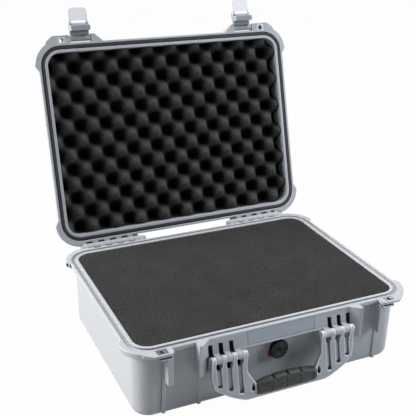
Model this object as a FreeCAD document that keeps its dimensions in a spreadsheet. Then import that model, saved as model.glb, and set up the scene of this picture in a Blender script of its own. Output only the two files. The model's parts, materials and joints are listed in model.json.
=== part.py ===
import FreeCAD, Part
import math
import os
import re
import Sketcher

# A moulded hard case that stands open: a base tub filled with foam, a lid with egg-crate foam on two
# rows of hinge knuckles, two throw latches on the lid, a folding carry handle, a purge valve, a bare
# name plate and steel padlock plates. Millimetres, +Z up, the front is -Y, the origin is the middle
# of the base's underside. Lid pieces are drawn closed and latched, and are then turned to rest open.

# Driving sizes, each written once.
SIZES = {
    # Tub of the base
    "opening_width": 459,
    "opening_depth": 330,
    "opening_radius": 24,
    "wall": 5.5,
    "floor_thickness": 5,
    "rim_height": 126.5,
    "wall_draft": 0.6,
    "bottom_rounding": 12,
    "floor_rounding": 7,
    # Rim: the ridge round the opening, the groove and flange outside it, and the corner bumpers
    "ridge_width": 5.3,
    "groove_width": 6.9,
    "groove_depth": 3.5,
    "flange_reach": 16.5,
    "flange_height": 7,
    "edge_rounding": 2,
    "bumper_reach": 6.5,
    "bumper_span": 47,
    "bumper_run": 10,
    "bumper_height": 9.5,
    "bumper_pocket": 4,
    # Lid
    "seal_gap": 0.4,
    "lid_depth": 44,
    "lid_flange_height": 9,
    "lid_rounding": 14,
    "lid_rib_height": 2.5,
    "lid_rib_inset": 34,
    "channel_depth": 6,
    "seal_clearance": 0.15,
    "seal_sink": 0.3,
    "lid_open_angle": 106.3,
    # Hinge rows at the back
    "hinge_offset": 24.9,
    "hinge_drop": 1,
    "hinge_inset": 97.2,
    "hinge_pitch": 22.6,
    "hinge_radius": 6,
    "hinge_pin_radius": 2.5,
    "hinge_gusset": 12,
    "hinge_cap_radius": 4,
    "hinge_clearance": 0.5,
    "hood_gap": 0.8,
    "hood_reach": 3,
    "knuckle_gap": 0.4,
    "pin_press": 0.02,
    "pin_play": 0.06,
    "pin_end_rounding": 0.5,
    # Latch bays, the ears beside them and the front details of the base
    "latch_inset": 82.5,
    "bay_width": 38.4,
    "ear_reach": 13.5,
    "ear_length": 33,
    "ear_slope": 13,
    "ear_chamfer": 4,
    "inner_ear_flat": 6,
    "inner_ear_slope": 15,
    "base_ear_height": 5,
    "ledge_drop": 2.6,
    "ledge_height": 3,
    "ledge_length": 19,
    "lid_ear_height": 15,
    "pillar_drop": 54.5,
    "post_width": 9,
    "post_reach": 8,
    "post_drop": 60.5,
    "rib_width": 6,
    "rib_height": 2.6,
    "rib_bottom": 5,
    "outer_rib_inset": 54,
    "inner_rib_inset": 113,
    "rib_drop": 7,
    # Throw latches
    "latch_width": 36,
    "latch_pin_rise": 6,
    "latch_pin_reach": 6.5,
    "latch_pin_radius": 2,
    "latch_pin_seat": 9,
    "latch_eye_radius": 5,
    "arm_inner": 1,
    "arm_thickness": 4,
    "latch_gap": 0.4,
    "hook_height": 9,
    "hook_grip": 5.5,
    "lever_eye_radius": 4.4,
    "lever_pin_radius": 1.6,
    "lever_lug_width": 4.6,
    "lever_thickness": 4,
    "lever_length": 28.5,
    "lever_corner": 5,
    "latch_open_angle": 90,
    # Padlock plates and their holes
    "padlock_inset": 46,
    "padlock_reach": 4.6,
    "padlock_radius": 4,
    "plate_length": 17,
    "plate_width": 13,
    "plate_thickness": 1.5,
    "plate_clearance": 0.1,
    # Name plate and the apron that carries it
    "apron_drop": 26.5,
    "apron_top_drop": 2.5,
    "apron_lean": 6,
    "sill_height": 3.2,
    "sill_reach": 0.7,
    "name_margin": 7.15,
    "name_height": 20,
    "name_rise": 3.6,
    "name_thickness": 1.2,
    "name_gap": 0.5,
    "slot_width": 7.4,
    "slot_height": 18.2,
    "slot_depth": 14,
    # Carry handle
    "handle_reach": 14.5,
    "handle_hang": 31,
    "handle_drop": 75.5,
    "handle_flare": 16,
    "handle_inset": 150,
    "leg_pitch": 17.5,
    "leg_width": 7.2,
    "leg_eye_radius": 6.5,
    "lug_radius": 6,
    "lug_gap": 0.5,
    "fork_drop": 7,
    "shroud_gap": 1,
    "shroud_drop": 12,
    "shroud_lip": 2,
    "slit_width": 7.6,
    "eyelet_radius": 2.9,
    "handle_pin_radius": 2.5,
    "bar_back": 4,
    "grip_setback": 13.15,
    "grip_bottom_rise": 5,
    "grip_top_cover": 7.6,
    "grip_front_cover": 4,
    "grip_back_cover": 3,
    "grip_rounding": 6,
    "finger_radius": 5,
    "finger_depth": 2,
    "finger_pitch": 24.5,
    # Purge valve
    "valve_drop": 50.5,
    "valve_boss_radius": 14.4,
    "valve_boss_rise": 1.6,
    "valve_shank_radius": 8,
    "valve_disc_radius": 12.6,
    "valve_disc_thickness": 5,
    "valve_post_radius": 3,
    "valve_ring_outer": 14.2,
    "valve_ring_inner": 13,
    "valve_ring_thickness": 2.2,
    "valve_tab_radius": 5,
    "valve_tab_offset": 10.2,
    "knob_radius": 16.2,
    "knob_depth": 7.6,
    "knob_face": 3,
    "knob_ring_width": 1.9,
    "knob_ring_depth": 1.4,
    "valve_play": 0.3,
    # Foam
    "foam_gap": 0.3,
    "foam_sink": 1,
    "pad_thickness": 12,
    "layer_thickness": 50,
    "crate_sink": 2.5,
    "pit_pitch_x": 48,
    "pit_pitch_y": 52.6,
    "pit_depth": 26,
    "pit_mouth_radius": 16.8,
    "pit_bottom_radius": 6,
    # One overrun for every cut
    "overrun": 2,
}

# Sizes that follow from the driving ones.
DERIVED = {
    "half_width": "opening_width / 2",
    "half_depth": "opening_depth / 2",
    "flange_side": "half_width + flange_reach",
    "flange_front": "half_depth + flange_reach",
    "wall_front": "half_depth + wall",
    "ear_front": "flange_front + ear_reach",
    "lid_plane": "rim_height + seal_gap",
    "lid_top": "lid_plane + lid_depth + wall",
    "groove_edge": "ridge_width + groove_width",
    "hinge_x": "flange_side - hinge_inset",
    "hinge_y": "half_depth + hinge_offset",
    "hinge_z": "rim_height - hinge_drop",
    "knuckle_width": "hinge_pitch / 2 - knuckle_gap",
    "row_half": "2 * hinge_pitch + knuckle_width / 2",
    "latch_x": "flange_side - latch_inset",
    "bay_inner": "latch_x - bay_width / 2",
    "bay_outer": "latch_x + bay_width / 2",
    "latch_pin_half": "bay_width / 2 + latch_pin_seat",
    "latch_y": "flange_front + latch_pin_reach",
    "latch_z": "rim_height + latch_pin_rise",
    "hook_face": "latch_pin_rise + flange_height + latch_gap",
    "hook_end": "hook_face + hook_height",
    "hook_inside": "latch_pin_reach + hook_grip",
    "arm_outer": "arm_inner + arm_thickness",
    "lever_out": "arm_inner + arm_thickness / 2",
    "lever_down": "hook_end + lever_eye_radius + latch_gap",
    "lever_y": "latch_y + lever_out",
    "lever_z": "latch_z - lever_down",
    "lever_eye_width": "latch_width - 2 * lever_lug_width - 2 * latch_gap",
    "pillar_bottom": "rim_height - pillar_drop",
    "post_bottom": "rim_height - post_drop",
    "outer_rib_x": "flange_side - outer_rib_inset",
    "inner_rib_x": "flange_side - inner_rib_inset",
    "rib_top": "rim_height - rib_drop",
    "padlock_x": "flange_side - padlock_inset",
    "padlock_y": "flange_front + padlock_reach",
    "apron_top": "rim_height - apron_top_drop",
    "apron_bottom": "rim_height - apron_drop",
    "apron_angle": "atan(apron_lean / (apron_top - apron_bottom))",
    "apron_foot": "flange_front + apron_lean",
    "handle_y": "flange_front + handle_reach",
    "handle_height": "rim_height - handle_hang",
    "handle_foot_x": "flange_side - handle_inset",
    "foot_half": "1.5 * leg_pitch + leg_width / 2",
    "handle_half": "handle_foot_x + foot_half",
    "foot_inner": "handle_foot_x - foot_half",
    "grip_half": "foot_inner - grip_setback",
    "name_width": "2 * (foot_inner - name_margin)",
    "handle_bottom": "handle_height - handle_drop",
    "lug_width": "leg_pitch - leg_width - 2 * lug_gap",
    "yoke_height": "handle_height - leg_eye_radius - fork_drop",
    "shroud_front": "handle_y - leg_eye_radius - shroud_gap",
    "shroud_bottom": "yoke_height - shroud_drop",
    "valve_height": "rim_height - valve_drop",
    "valve_face": "wall_front + valve_boss_rise",
    "knob_back": "valve_face + valve_ring_thickness + valve_play",
    "knob_front": "knob_back + knob_depth",
    "foam_base": "floor_thickness",
    "foam_mid": "foam_base + pad_thickness",
    "foam_upper": "foam_mid + layer_thickness",
    "foam_top": "rim_height - foam_sink",
    "crate_face": "lid_plane + crate_sink",
}

# The handle's outline from the front: shares of its half width, and of its drop below the pivot.
HANDLE_OUTER_SHARES = ((1.0, 0.40), (0.965, 0.62), (0.80, 0.80), (0.56, 1.0))
HANDLE_INNER_SHARES = (0.40, 0.677)
# The handle from the side, front then back: shares of its flare, and of its drop below the pivot.
HANDLE_FRONT_SHARES = ((0.27, 0.0), (0.30, 0.30), (0.62, 0.58), (0.93, 0.78), (1.0, 0.92), (0.88, 1.0))
HANDLE_BACK_SHARES = ((0.42, 1.0), (0.32, 0.80), (0.06, 0.55), (-0.22, 0.30), (-0.26, 0.0))
# The lower ends of the slits between the legs, from the inner one out, as shares of the same drop.
SLIT_SHARES = (0.80, 0.70, 0.59)
# The eyelet beside each end of the grip, as a share of the handle's drop below the pivot.
EYELET_SHARE = 0.74
# The eyelet's outline, a drop that points up, in shares of its radius across and up.
EYELET_OUTLINE_SHARES = ((-1, -1), (0, -2.4), (1, -1), (1, 1), (0, 3), (-1, 1))
# The grip's crowned top from its middle to its end: shares of its half length and of its height.
GRIP_TOP_SHARES = ((0, 1), (0.5, 0.96), (0.8, 0.87), (1, 0.76))
# The first row of foam pits, as shares of the pit pitches from the middle of the lid.
PIT_START_SHARES = (0.2375, 0.386)

SIDES = {"left": -1, "right": 1}
HINGE_STEPS = (-2, -1, 0, 1, 2)
LEG_STEPS = (-1.5, -0.5, 0.5, 1.5)
LUG_STEPS = (-1, 0, 1)
FINGER_STEPS = (-1, 0, 1)

X_AXIS = FreeCAD.Vector(1, 0, 0)
Y_AXIS = FreeCAD.Vector(0, 1, 0)
Z_AXIS = FreeCAD.Vector(0, 0, 1)
# Heights closer than this count as the same.
NEAR = 0.001
# A sketch turned to lie in each plane, and the coordinate that it is extruded along.
PLANES = {
    "XY": (FreeCAD.Rotation(), "z"),
    "YZ": (FreeCAD.Rotation(FreeCAD.Vector(1, 1, 1), 120), "x"),
    "XZ": (FreeCAD.Rotation(X_AXIS, 90), "y"),
}
# A cylinder stands along Z, so it is turned to lie along another axis.
TURNS = {
    "x": FreeCAD.Rotation(Y_AXIS, 90),
    "y": FreeCAD.Rotation(X_AXIS, 90),
    "z": FreeCAD.Rotation(),
}

doc = FreeCAD.newDocument("HardCase")
sheet = doc.addObject("Spreadsheet::Sheet", "Sizes")
nodes = {}


def fill_sheet():
    """Writes the driving sizes and the derived ones, each under its own alias."""
    cells = list(SIZES.items()) + [(name, "=" + formula) for name, formula in DERIVED.items()]
    for row, (name, content) in enumerate(cells, start=1):
        sheet.set(f"A{row}", name)
        sheet.set(f"B{row}", str(content))
        sheet.setAlias(f"B{row}", name)
    doc.recompute()


def formula_of(text):
    """A formula in plain size names, with the sheet's name put in front of each."""
    def named(word):
        found = word.group(0)
        return f"Sizes.{found}" if found in SIZES or found in DERIVED else found

    return re.sub(r"[a-z_]+", named, text)


def number(text):
    """What a formula in size names comes to."""
    return float(sheet.evalExpression(formula_of(text)))


def bind(thing, **formulas):
    """Ties properties of an object to formulas; x, y and z stand for its place."""
    for name, text in formulas.items():
        path = f"Placement.Base.{name}" if name in "xyz" else name
        thing.setExpression(path, formula_of(text))


def box(label, x, y, z):
    """A block between two formulas along each axis."""
    block = doc.addObject("Part::Box", label)
    sides = {axis: f"({high}) - ({low})" for axis, (low, high) in zip("xyz", (x, y, z))}
    bind(block, Length=sides["x"], Width=sides["y"], Height=sides["z"])
    bind(block, x=x[0], y=y[0], z=z[0])
    return block


def rod(label, axis, radius, x, y, z, length):
    """A cylinder that starts at a place and runs along an axis, towards -Y for the y axis."""
    cylinder = doc.addObject("Part::Cylinder", label)
    cylinder.Placement = FreeCAD.Placement(FreeCAD.Vector(), TURNS[axis])
    bind(cylinder, Radius=radius, Height=length, x=x, y=y, z=z)
    return cylinder


def extrude(label, sketch, plane, low, high, taper="0"):
    """A solid from a closed sketch, between two places along the plane's own coordinate."""
    turn, along = PLANES[plane]
    sketch.Placement = FreeCAD.Placement(FreeCAD.Vector(), turn)
    bind(sketch, **{along: high if plane == "XZ" else low})
    solid = doc.addObject("Part::Extrusion", label)
    solid.Base = sketch
    solid.DirMode = "Normal"
    solid.Solid = True
    bind(solid, LengthFwd=f"({high}) - ({low})", TaperAngle=taper)
    return solid


def prism(label, plane, points, low, high):
    """A straight-sided solid whose outline's corners are tied to formulas."""
    sketch = doc.addObject("Sketcher::SketchObject", label + "_outline")
    corners = [FreeCAD.Vector(number(across), number(up), 0) for across, up in points]
    for start, end in zip(corners, corners[1:] + corners[:1]):
        sketch.addGeometry(Part.LineSegment(start, end))
    for index, place in enumerate(points):
        following = (index + 1) % len(points)
        sketch.addConstraint(Sketcher.Constraint("Coincident", index, 2, following, 1))
        for kind, text in zip(("DistanceX", "DistanceY"), place):
            limit = Sketcher.Constraint(kind, -1, 1, index, 1, number(text))
            sketch.setExpression(f"Constraints[{sketch.addConstraint(limit)}]", formula_of(text))
    return extrude(label, sketch, plane, low, high)


def rounded_prism(label, half_x, half_y, radius, low, high, taper="0"):
    """A block with rounded upright corners, centred on the case, which may widen upwards."""
    sketch = doc.addObject("Sketcher::SketchObject", label + "_outline")
    wide, deep, round_ = number(half_x), number(half_y), number(radius)
    ends = (
        ((round_ - wide, -deep), (wide - round_, -deep)),
        ((wide, round_ - deep), (wide, deep - round_)),
        ((wide - round_, deep), (round_ - wide, deep)),
        ((-wide, deep - round_), (-wide, round_ - deep)),
    )
    for start, end in ends:
        sketch.addGeometry(Part.LineSegment(FreeCAD.Vector(*start), FreeCAD.Vector(*end)))
    for quarter, (right, back) in enumerate(((1, -1), (1, 1), (-1, 1), (-1, -1))):
        middle = FreeCAD.Vector(right * (wide - round_), back * (deep - round_), 0)
        circle = Part.Circle(middle, Z_AXIS, round_)
        turn = math.radians(90) * (quarter - 1)
        sketch.addGeometry(Part.ArcOfCircle(circle, turn, turn + math.radians(90)))
    limit = Sketcher.Constraint
    for line, arc in zip(range(4), range(4, 8)):
        sketch.addConstraint(limit("Tangent", line, 2, arc, 1))
        sketch.addConstraint(limit("Tangent", arc, 2, (line + 1) % 4, 1))
        sketch.addConstraint(limit("Vertical" if line % 2 else "Horizontal", line))
    for arc in (5, 6, 7):
        sketch.addConstraint(limit("Equal", 4, arc))
    measured = (
        (limit("Radius", 4, round_), radius),
        (limit("DistanceX", -1, 1, 1, 1, wide), half_x),
        (limit("DistanceX", 3, 1, -1, 1, wide), half_x),
        (limit("DistanceY", -1, 1, 2, 1, deep), half_y),
        (limit("DistanceY", 0, 1, -1, 1, deep), half_y),
    )
    for constraint, text in measured:
        sketch.setExpression(f"Constraints[{sketch.addConstraint(constraint)}]", formula_of(text))
    return extrude(label, sketch, "XY", low, high, taper)


def rim_prism(label, reach, low, high):
    """A block that follows the opening's outline, standing out from it by a reach."""
    sides = [f"{size} + ({reach})" for size in ("half_width", "half_depth", "opening_radius")]
    return rounded_prism(label, *sides, low, high)


def tub_prism(label, reach, low, high):
    """A block that follows the base's leaning walls, standing out from their inner faces by a reach."""
    lean = f"(({reach}) - (rim_height - ({low})) * tan(wall_draft))"
    sides = [f"{size} + {lean}" for size in ("half_width", "half_depth", "opening_radius")]
    return rounded_prism(label, *sides, low, high, "wall_draft")


def crown_prism(label, reach, low, high):
    """A block that follows the lid's leaning walls, standing out from their inner faces by a reach."""
    lean = f"(({reach}) - (({low}) - lid_plane) * tan(wall_draft))"
    sides = [f"{size} + {lean}" for size in ("half_width", "half_depth", "opening_radius")]
    return rounded_prism(label, *sides, low, high, "-wall_draft")


def rim_ring(label, inner, outer, low, high):
    """A ring round the opening between two reaches."""
    ring = rim_prism(label + "_outer", outer, low, high)
    return cut(label, ring, [rim_prism(label + "_inner", inner, low, high)])


def round_edges(label, solid, radius, picks):
    """Rounds the edges of a solid that a test picks."""
    doc.recompute()
    rounded = doc.addObject("Part::Fillet", label)
    rounded.Base = solid
    size = number(radius)
    rounded.Edges = [(index, size, size) for index, edge in enumerate(solid.Shape.Edges, 1) if picks(edge)]
    return rounded


def level(height):
    """A test for edges that lie flat at a height."""
    place = number(height)
    return lambda edge: max(abs(edge.BoundBox.ZMin - place), abs(edge.BoundBox.ZMax - place)) < NEAR


def fuse(label, solids):
    """Several solids as one."""
    whole = doc.addObject("Part::MultiFuse", label)
    whole.Shapes = solids
    whole.Refine = True
    return whole


def cut(label, solid, tools):
    """A solid with others taken out of it."""
    remains = doc.addObject("Part::Cut", label)
    remains.Base = solid
    remains.Tool = fuse(label + "_cutters", tools) if len(tools) > 1 else tools[0]
    return remains


def common(label, solids):
    """What several solids share."""
    shared = doc.addObject("Part::MultiCommon", label)
    shared.Shapes = solids
    return shared


def turn_about(y, z, angle):
    """A turn about a line along X, positive from +Y to +Z."""
    middle = FreeCAD.Vector(0, number(y), number(z))
    return FreeCAD.Placement(FreeCAD.Vector(), FreeCAD.Rotation(X_AXIS, angle), middle)


def keep(label, solid, pose=None):
    """Names a finished sub-part and puts it in its rest place."""
    solid.Label = label
    if pose:
        solid.Placement = pose.multiply(solid.Placement)
    nodes[label] = solid
    return solid


def bumpers(name, low, high):
    """The four corner bumpers of a rim, with ends that slope back to the flange."""
    masks = []
    for x_sign in (-1, 1):
        for y_sign in (-1, 1):
            corner = (
                ("flange_side - bumper_span", "flange_front - bumper_span"),
                ("flange_side", "flange_front - bumper_span"),
                ("flange_side + bumper_reach", "flange_front - bumper_span + bumper_run"),
                ("flange_side + bumper_reach", "flange_front + bumper_reach"),
                ("flange_side - bumper_span + bumper_run", "flange_front + bumper_reach"),
                ("flange_side - bumper_span", "flange_front"),
            )
            points = [(f"{x_sign} * ({x})", f"{y_sign} * ({y})") for x, y in corner]
            masks.append(prism(f"{name}_corner_{len(masks)}", "XY", points, low, high))
    band = rim_prism(f"{name}_bumper_band", "flange_reach + bumper_reach", low, high)
    softened = round_edges(f"{name}_bumper_soft", band, "edge_rounding", lambda edge: not upright(edge))
    return common(f"{name}_bumpers", [softened, fuse(f"{name}_corner_masks", masks)])


def upright(edge):
    """Whether an edge runs up and down."""
    return edge.BoundBox.ZLength > max(edge.BoundBox.XLength, edge.BoundBox.YLength)


def soft_flange(name, low, high):
    """The flange round a rim, with its outer edges rounded."""
    plain = rim_prism(f"{name}_flange_plain", "flange_reach", low, high)
    return round_edges(f"{name}_flange", plain, "edge_rounding", lambda edge: not upright(edge))


def ears(name, low, high):
    """The ears on both sides of both latch bays: the outer ones carry the padlock holes."""
    solids = []
    for side, sign in SIDES.items():
        outer = (
            ("bay_outer", "half_depth"),
            ("bay_outer", "ear_front - ear_chamfer"),
            ("bay_outer + ear_chamfer", "ear_front"),
            ("bay_outer + ear_length", "ear_front"),
            ("bay_outer + ear_length + ear_slope", "flange_front + bumper_reach / 2"),
            ("bay_outer + ear_length + ear_slope", "half_depth"),
        )
        inner = (
            ("bay_inner", "half_depth"),
            ("bay_inner", "ear_front"),
            ("bay_inner - inner_ear_flat", "ear_front"),
            ("bay_inner - inner_ear_flat - inner_ear_slope", "flange_front"),
            ("bay_inner - inner_ear_flat - inner_ear_slope", "half_depth"),
        )
        for place, outline in (("outer", outer), ("inner", inner)):
            points = [(f"{sign} * ({x})", f"-({y})") for x, y in outline]
            bottom = "pillar_bottom" if (name, place) == ("base", "inner") else low
            solids.append(prism(f"{name}_{place}_ear_{side}", "XY", points, bottom, high))
    return solids


def padlock_cuts(name, face, plate_end, low, high):
    """The padlock holes of a rim and the pockets for their steel plates."""
    tools = []
    for side, sign in SIDES.items():
        middle = f"{sign} * padlock_x"
        reach = "plate_length / 2 + plate_clearance"
        deep = "plate_width / 2 + plate_clearance"
        x = (f"{middle} - ({reach})", f"{middle} + ({reach})")
        y = (f"-padlock_y - ({deep})", f"-padlock_y + ({deep})")
        bottom, top = sorted((face, plate_end), key=number)
        tools.append(box(f"{name}_plate_pocket_{side}", x, y, (bottom, top)))
        length = f"({high}) - ({low})"
        label = f"{name}_padlock_bore_{side}"
        tools.append(rod(label, "z", "padlock_radius", middle, "-padlock_y", low, length))
    return tools


def padlock_plate(label, sign, low, high, pose=None):
    """A steel plate that lines a padlock hole, with its corners rounded."""
    middle = f"{sign} * padlock_x"
    x = (f"{middle} - plate_length / 2", f"{middle} + plate_length / 2")
    y = ("-padlock_y - plate_width / 2", "-padlock_y + plate_width / 2")
    blank = box(label + "_blank", x, y, (low, high))
    soft = round_edges(label + "_soft", blank, "plate_thickness", upright)
    hole = rod(label + "_hole", "z", "padlock_radius", middle, "-padlock_y", low, f"({high}) - ({low})")
    return keep(label, cut(label, soft, [hole]), pose)


def pin(label, radius, x, y, z, length, pose=None):
    """A steel pin along X with softened ends."""
    plain = rod(label + "_plain", "x", radius, x, y, z, length)
    return keep(label, round_edges(label, plain, "pin_end_rounding", lambda edge: edge.Closed), pose)


def hinge_places(sign, steps, shift):
    """The low ends of a hinge row's knuckles."""
    return [f"{sign} * hinge_x + {step + shift} * hinge_pitch - knuckle_width / 2" for step in steps]


def knuckles(name, sign, side, steps, shift, web_low, web_high):
    """One row of hinge knuckles with the webs that join them to a flange."""
    solids = []
    for index, x in enumerate(hinge_places(sign, steps, shift)):
        label = f"{name}_knuckle_{side}_{index}"
        solids.append(rod(label, "x", "hinge_radius", x, "hinge_y", "hinge_z", "knuckle_width"))
        ends = (x, f"{x} + knuckle_width")
        solids.append(box(label + "_web", ends, ("half_depth + wall", "hinge_y"), (web_low, web_high)))
    return solids


def hinge_bore(name, sign, side, radius):
    """A bore through one row of knuckles and the caps at its ends."""
    start = f"{sign} * hinge_x - row_half - hinge_gusset"
    length = "2 * (row_half + hinge_gusset)"
    return rod(f"{name}_hinge_bore_{side}", "x", radius, start, "hinge_y", "hinge_z", length)


def hinge_cap(label, sign, end):
    """A tapered cap on one end of a hinge row."""
    cap = doc.addObject("Part::Cone", label)
    cap.Placement = FreeCAD.Placement(FreeCAD.Vector(), FreeCAD.Rotation(Y_AXIS, 90 * end))
    bind(cap, Radius1="hinge_radius", Radius2="hinge_cap_radius", Height="hinge_gusset")
    bind(cap, x=f"{sign} * hinge_x + {end} * row_half", y="hinge_y", z="hinge_z")
    return cap


def hinge_relief(label, sign):
    """The room that a lid's bumper leaves round the outer cap of a hinge row."""
    outer = f"{sign} * (hinge_x + row_half)"
    far = f"{sign} * (hinge_x + row_half + hinge_gusset + hinge_clearance)"
    start, end = sorted((outer, far), key=number)
    radius = "hinge_radius + hinge_clearance"
    return rod(label, "x", radius, start, "hinge_y", "hinge_z", f"({end}) - ({start})")


def front_ribs():
    """The upright ribs on the front and back walls, which lean with them and end in small feet."""
    solids = []
    face = "wall_front + rib_height - (rim_height - ({0})) * tan(wall_draft)"
    for name, x, top in (("outer", "outer_rib_x", "rib_top"), ("inner", "inner_rib_x", "pillar_bottom")):
        for side, sign in SIDES.items():
            for wall, facing in (("front", -1), ("back", 1)):
                points = (
                    (f"{facing} * half_depth", "rib_bottom"),
                    (f"{facing} * ({face.format('rib_bottom')})", "rib_bottom"),
                    (f"{facing} * ({face.format(top)})", top),
                    (f"{facing} * half_depth", top),
                )
                ends = (f"{sign} * {x} - rib_width / 2", f"{sign} * {x} + rib_width / 2")
                solids.append(prism(f"{wall}_{name}_rib_{side}", "YZ", points, *ends))
    return solids


def handle_lugs():
    """The lugs between the handle's legs, on webs and a shroud that grow out of the front wall."""
    solids = []
    for side, sign in SIDES.items():
        x = (f"{sign} * handle_foot_x - foot_half", f"{sign} * handle_foot_x + foot_half")
        heights = ("shroud_bottom", "apron_bottom")
        solids.append(box(f"foot_shroud_{side}", x, ("-shroud_front", "-half_depth"), heights))
        for index, step in enumerate(LUG_STEPS):
            x = f"{sign} * handle_foot_x + {step} * leg_pitch - lug_width / 2"
            label = f"handle_lug_{side}_{index}"
            solids.append(rod(label, "x", "lug_radius", x, "-handle_y", "handle_height", "lug_width"))
            heights = ("handle_height - lug_radius", "handle_height + lug_radius")
            solids.append(box(label + "_web", (x, f"{x} + lug_width"), ("-handle_y", "-half_depth"), heights))
    return solids


def shroud_pockets():
    """The dark pockets in the shroud, one below each lug."""
    tools = []
    for side, sign in SIDES.items():
        for index, step in enumerate(LUG_STEPS):
            middle = f"{sign} * handle_foot_x + {step} * leg_pitch"
            half = "lug_width / 2 + lug_gap"
            x = (f"{middle} - ({half})", f"{middle} + {half}")
            y = ("-shroud_front - overrun", "-shroud_front + slot_depth")
            z = ("shroud_bottom + shroud_lip", "handle_height - lug_radius")
            tools.append(box(f"shroud_pocket_{side}_{index}", x, y, z))
    return tools


def apron_slots():
    """The dark slots in the apron above the three outer legs of each foot."""
    tools = []
    for side, sign in SIDES.items():
        for index, step in enumerate(LEG_STEPS[1:]):
            middle = f"{sign} * (handle_foot_x + {step} * leg_pitch)"
            x = (f"{middle} - slot_width / 2", f"{middle} + slot_width / 2")
            y = ("-apron_foot - overrun", "-apron_foot + slot_depth")
            z = ("apron_bottom - overrun", "apron_bottom + slot_height - overrun")
            tools.append(box(f"apron_slot_{side}_{index}", x, y, z))
    return tools


def bumper_pockets():
    """Two small mould pockets in the front end of each back bumper."""
    tools = []
    for side, sign in SIDES.items():
        for index, step in enumerate((0, 1)):
            outer = f"{sign} * (flange_side + bumper_reach - (1 + 2 * {step}) * bumper_pocket / 2)"
            x = (f"{outer} - bumper_pocket / 3", f"{outer} + bumper_pocket / 3")
            start = "flange_front - bumper_span"
            heights = ("rim_height - bumper_height + bumper_pocket / 2", "rim_height - bumper_pocket / 2")
            y = (start, f"{start} + bumper_run + bumper_pocket")
            tools.append(box(f"bumper_pocket_{side}_{index}", x, y, heights))
    return tools


def apron_place(up, out):
    """A place in the YZ plane, up the apron's leaning face from its foot and out from that face."""
    y = f"-apron_foot + ({up}) * sin(apron_angle) - ({out}) * cos(apron_angle)"
    return y, f"apron_bottom + ({up}) * cos(apron_angle) + ({out}) * sin(apron_angle)"


def name_slab(label, margin, out):
    """A slab let into the apron's face for the name plate, with a margin all round."""
    low, high = f"name_rise - ({margin})", f"name_rise + name_height + ({margin})"
    corners = ((low, "-name_thickness"), (low, out), (high, out), (high, "-name_thickness"))
    half = f"name_width / 2 + ({margin})"
    return prism(label, "YZ", [apron_place(*corner) for corner in corners], f"-({half})", half)


def build_base():
    """The base shell: a drafted tub with its rim, hinge, handle and latch details in one moulding."""
    tub = tub_prism("tub_plain", "wall", "0", "rim_height")
    tub = round_edges("tub", tub, "bottom_rounding", level("0"))
    solids = [tub, soft_flange("base", "rim_height - flange_height", "rim_height")]
    solids.append(bumpers("base", "rim_height - bumper_height", "rim_height"))
    solids += ears("base", "rim_height - base_ear_height", "rim_height")
    apron = (
        ("-half_depth", "apron_bottom"),
        ("-apron_foot - sill_reach", "apron_bottom"),
        apron_place("sill_height", "0"),
        ("-flange_front", "apron_top"),
        ("-half_depth", "apron_top"),
    )
    solids.append(prism("apron", "YZ", apron, "inner_ear_flat - bay_inner", "bay_inner - inner_ear_flat"))
    for side, sign in SIDES.items():
        outer = f"{sign} * (bay_outer + post_width)"
        ends = sorted((f"{sign} * bay_outer", outer), key=number)
        y = ("-flange_front - post_reach", "-half_depth")
        solids.append(box(f"latch_post_{side}", ends, y, ("post_bottom", "rim_height - flange_height")))
        outer = f"{sign} * (bay_outer + ear_chamfer + ledge_length)"
        ends = sorted((f"{sign} * (bay_outer + ear_chamfer)", outer), key=number)
        top = "rim_height - base_ear_height - ledge_drop"
        heights = (f"{top} - ledge_height", top)
        solids.append(box(f"ear_ledge_{side}", ends, ("-ear_front", "-half_depth"), heights))
        solids += knuckles("base", sign, side, HINGE_STEPS, 0, "rim_height - flange_height", "rim_height")
        for end in (-1, 1):
            solids.append(hinge_cap(f"hinge_cap_{side}_{end + 1}", sign, end))
            start = f"{sign} * hinge_x + {end} * row_half"
            points = (
                (start, "wall_front"),
                (start, "hinge_y"),
                (f"{start} + {end} * hinge_gusset", "flange_front"),
                (f"{start} + {end} * hinge_gusset", "wall_front"),
            )
            label = f"hinge_gusset_{side}_{end + 1}"
            solids.append(prism(label, "XY", points, "rim_height - flange_height", "rim_height"))
    solids += front_ribs()
    solids += handle_lugs()
    boss = rod(
        "valve_boss", "y", "valve_boss_radius", "0", "-half_depth", "valve_height", "valve_face - half_depth"
    )
    solids.append(boss)

    cavity = tub_prism("cavity_plain", "0", "floor_thickness", "rim_height + overrun")
    tools = [round_edges("cavity", cavity, "floor_rounding", level("floor_thickness"))]
    heights = ("rim_height - groove_depth", "rim_height + overrun")
    tools.append(rim_ring("rim_groove", "ridge_width", "groove_edge", *heights))
    for side, sign in SIDES.items():
        tools.append(hinge_bore("base", sign, side, "hinge_pin_radius + pin_press"))
        start = f"{sign} * handle_foot_x - foot_half"
        radius = "handle_pin_radius + pin_press"
        tools.append(
            rod(f"lug_bore_{side}", "x", radius, start, "-handle_y", "handle_height", "2 * foot_half")
        )
    shank = "valve_shank_radius + pin_press"
    length = "valve_face - half_depth + 2 * wall"
    tools.append(rod("valve_bore", "y", shank, "0", "-half_depth + wall", "valve_height", length))
    tools.append(name_slab("name_pocket", "name_gap", "overrun"))
    above, below = "rim_height + overrun", "rim_height - bumper_height - overrun"
    tools += padlock_cuts("base", above, "rim_height - plate_thickness", below, above)
    tools += apron_slots()
    tools += shroud_pockets()
    tools += bumper_pockets()
    keep("base_shell", cut("base_shell", fuse("base_solids", solids), tools))


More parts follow.
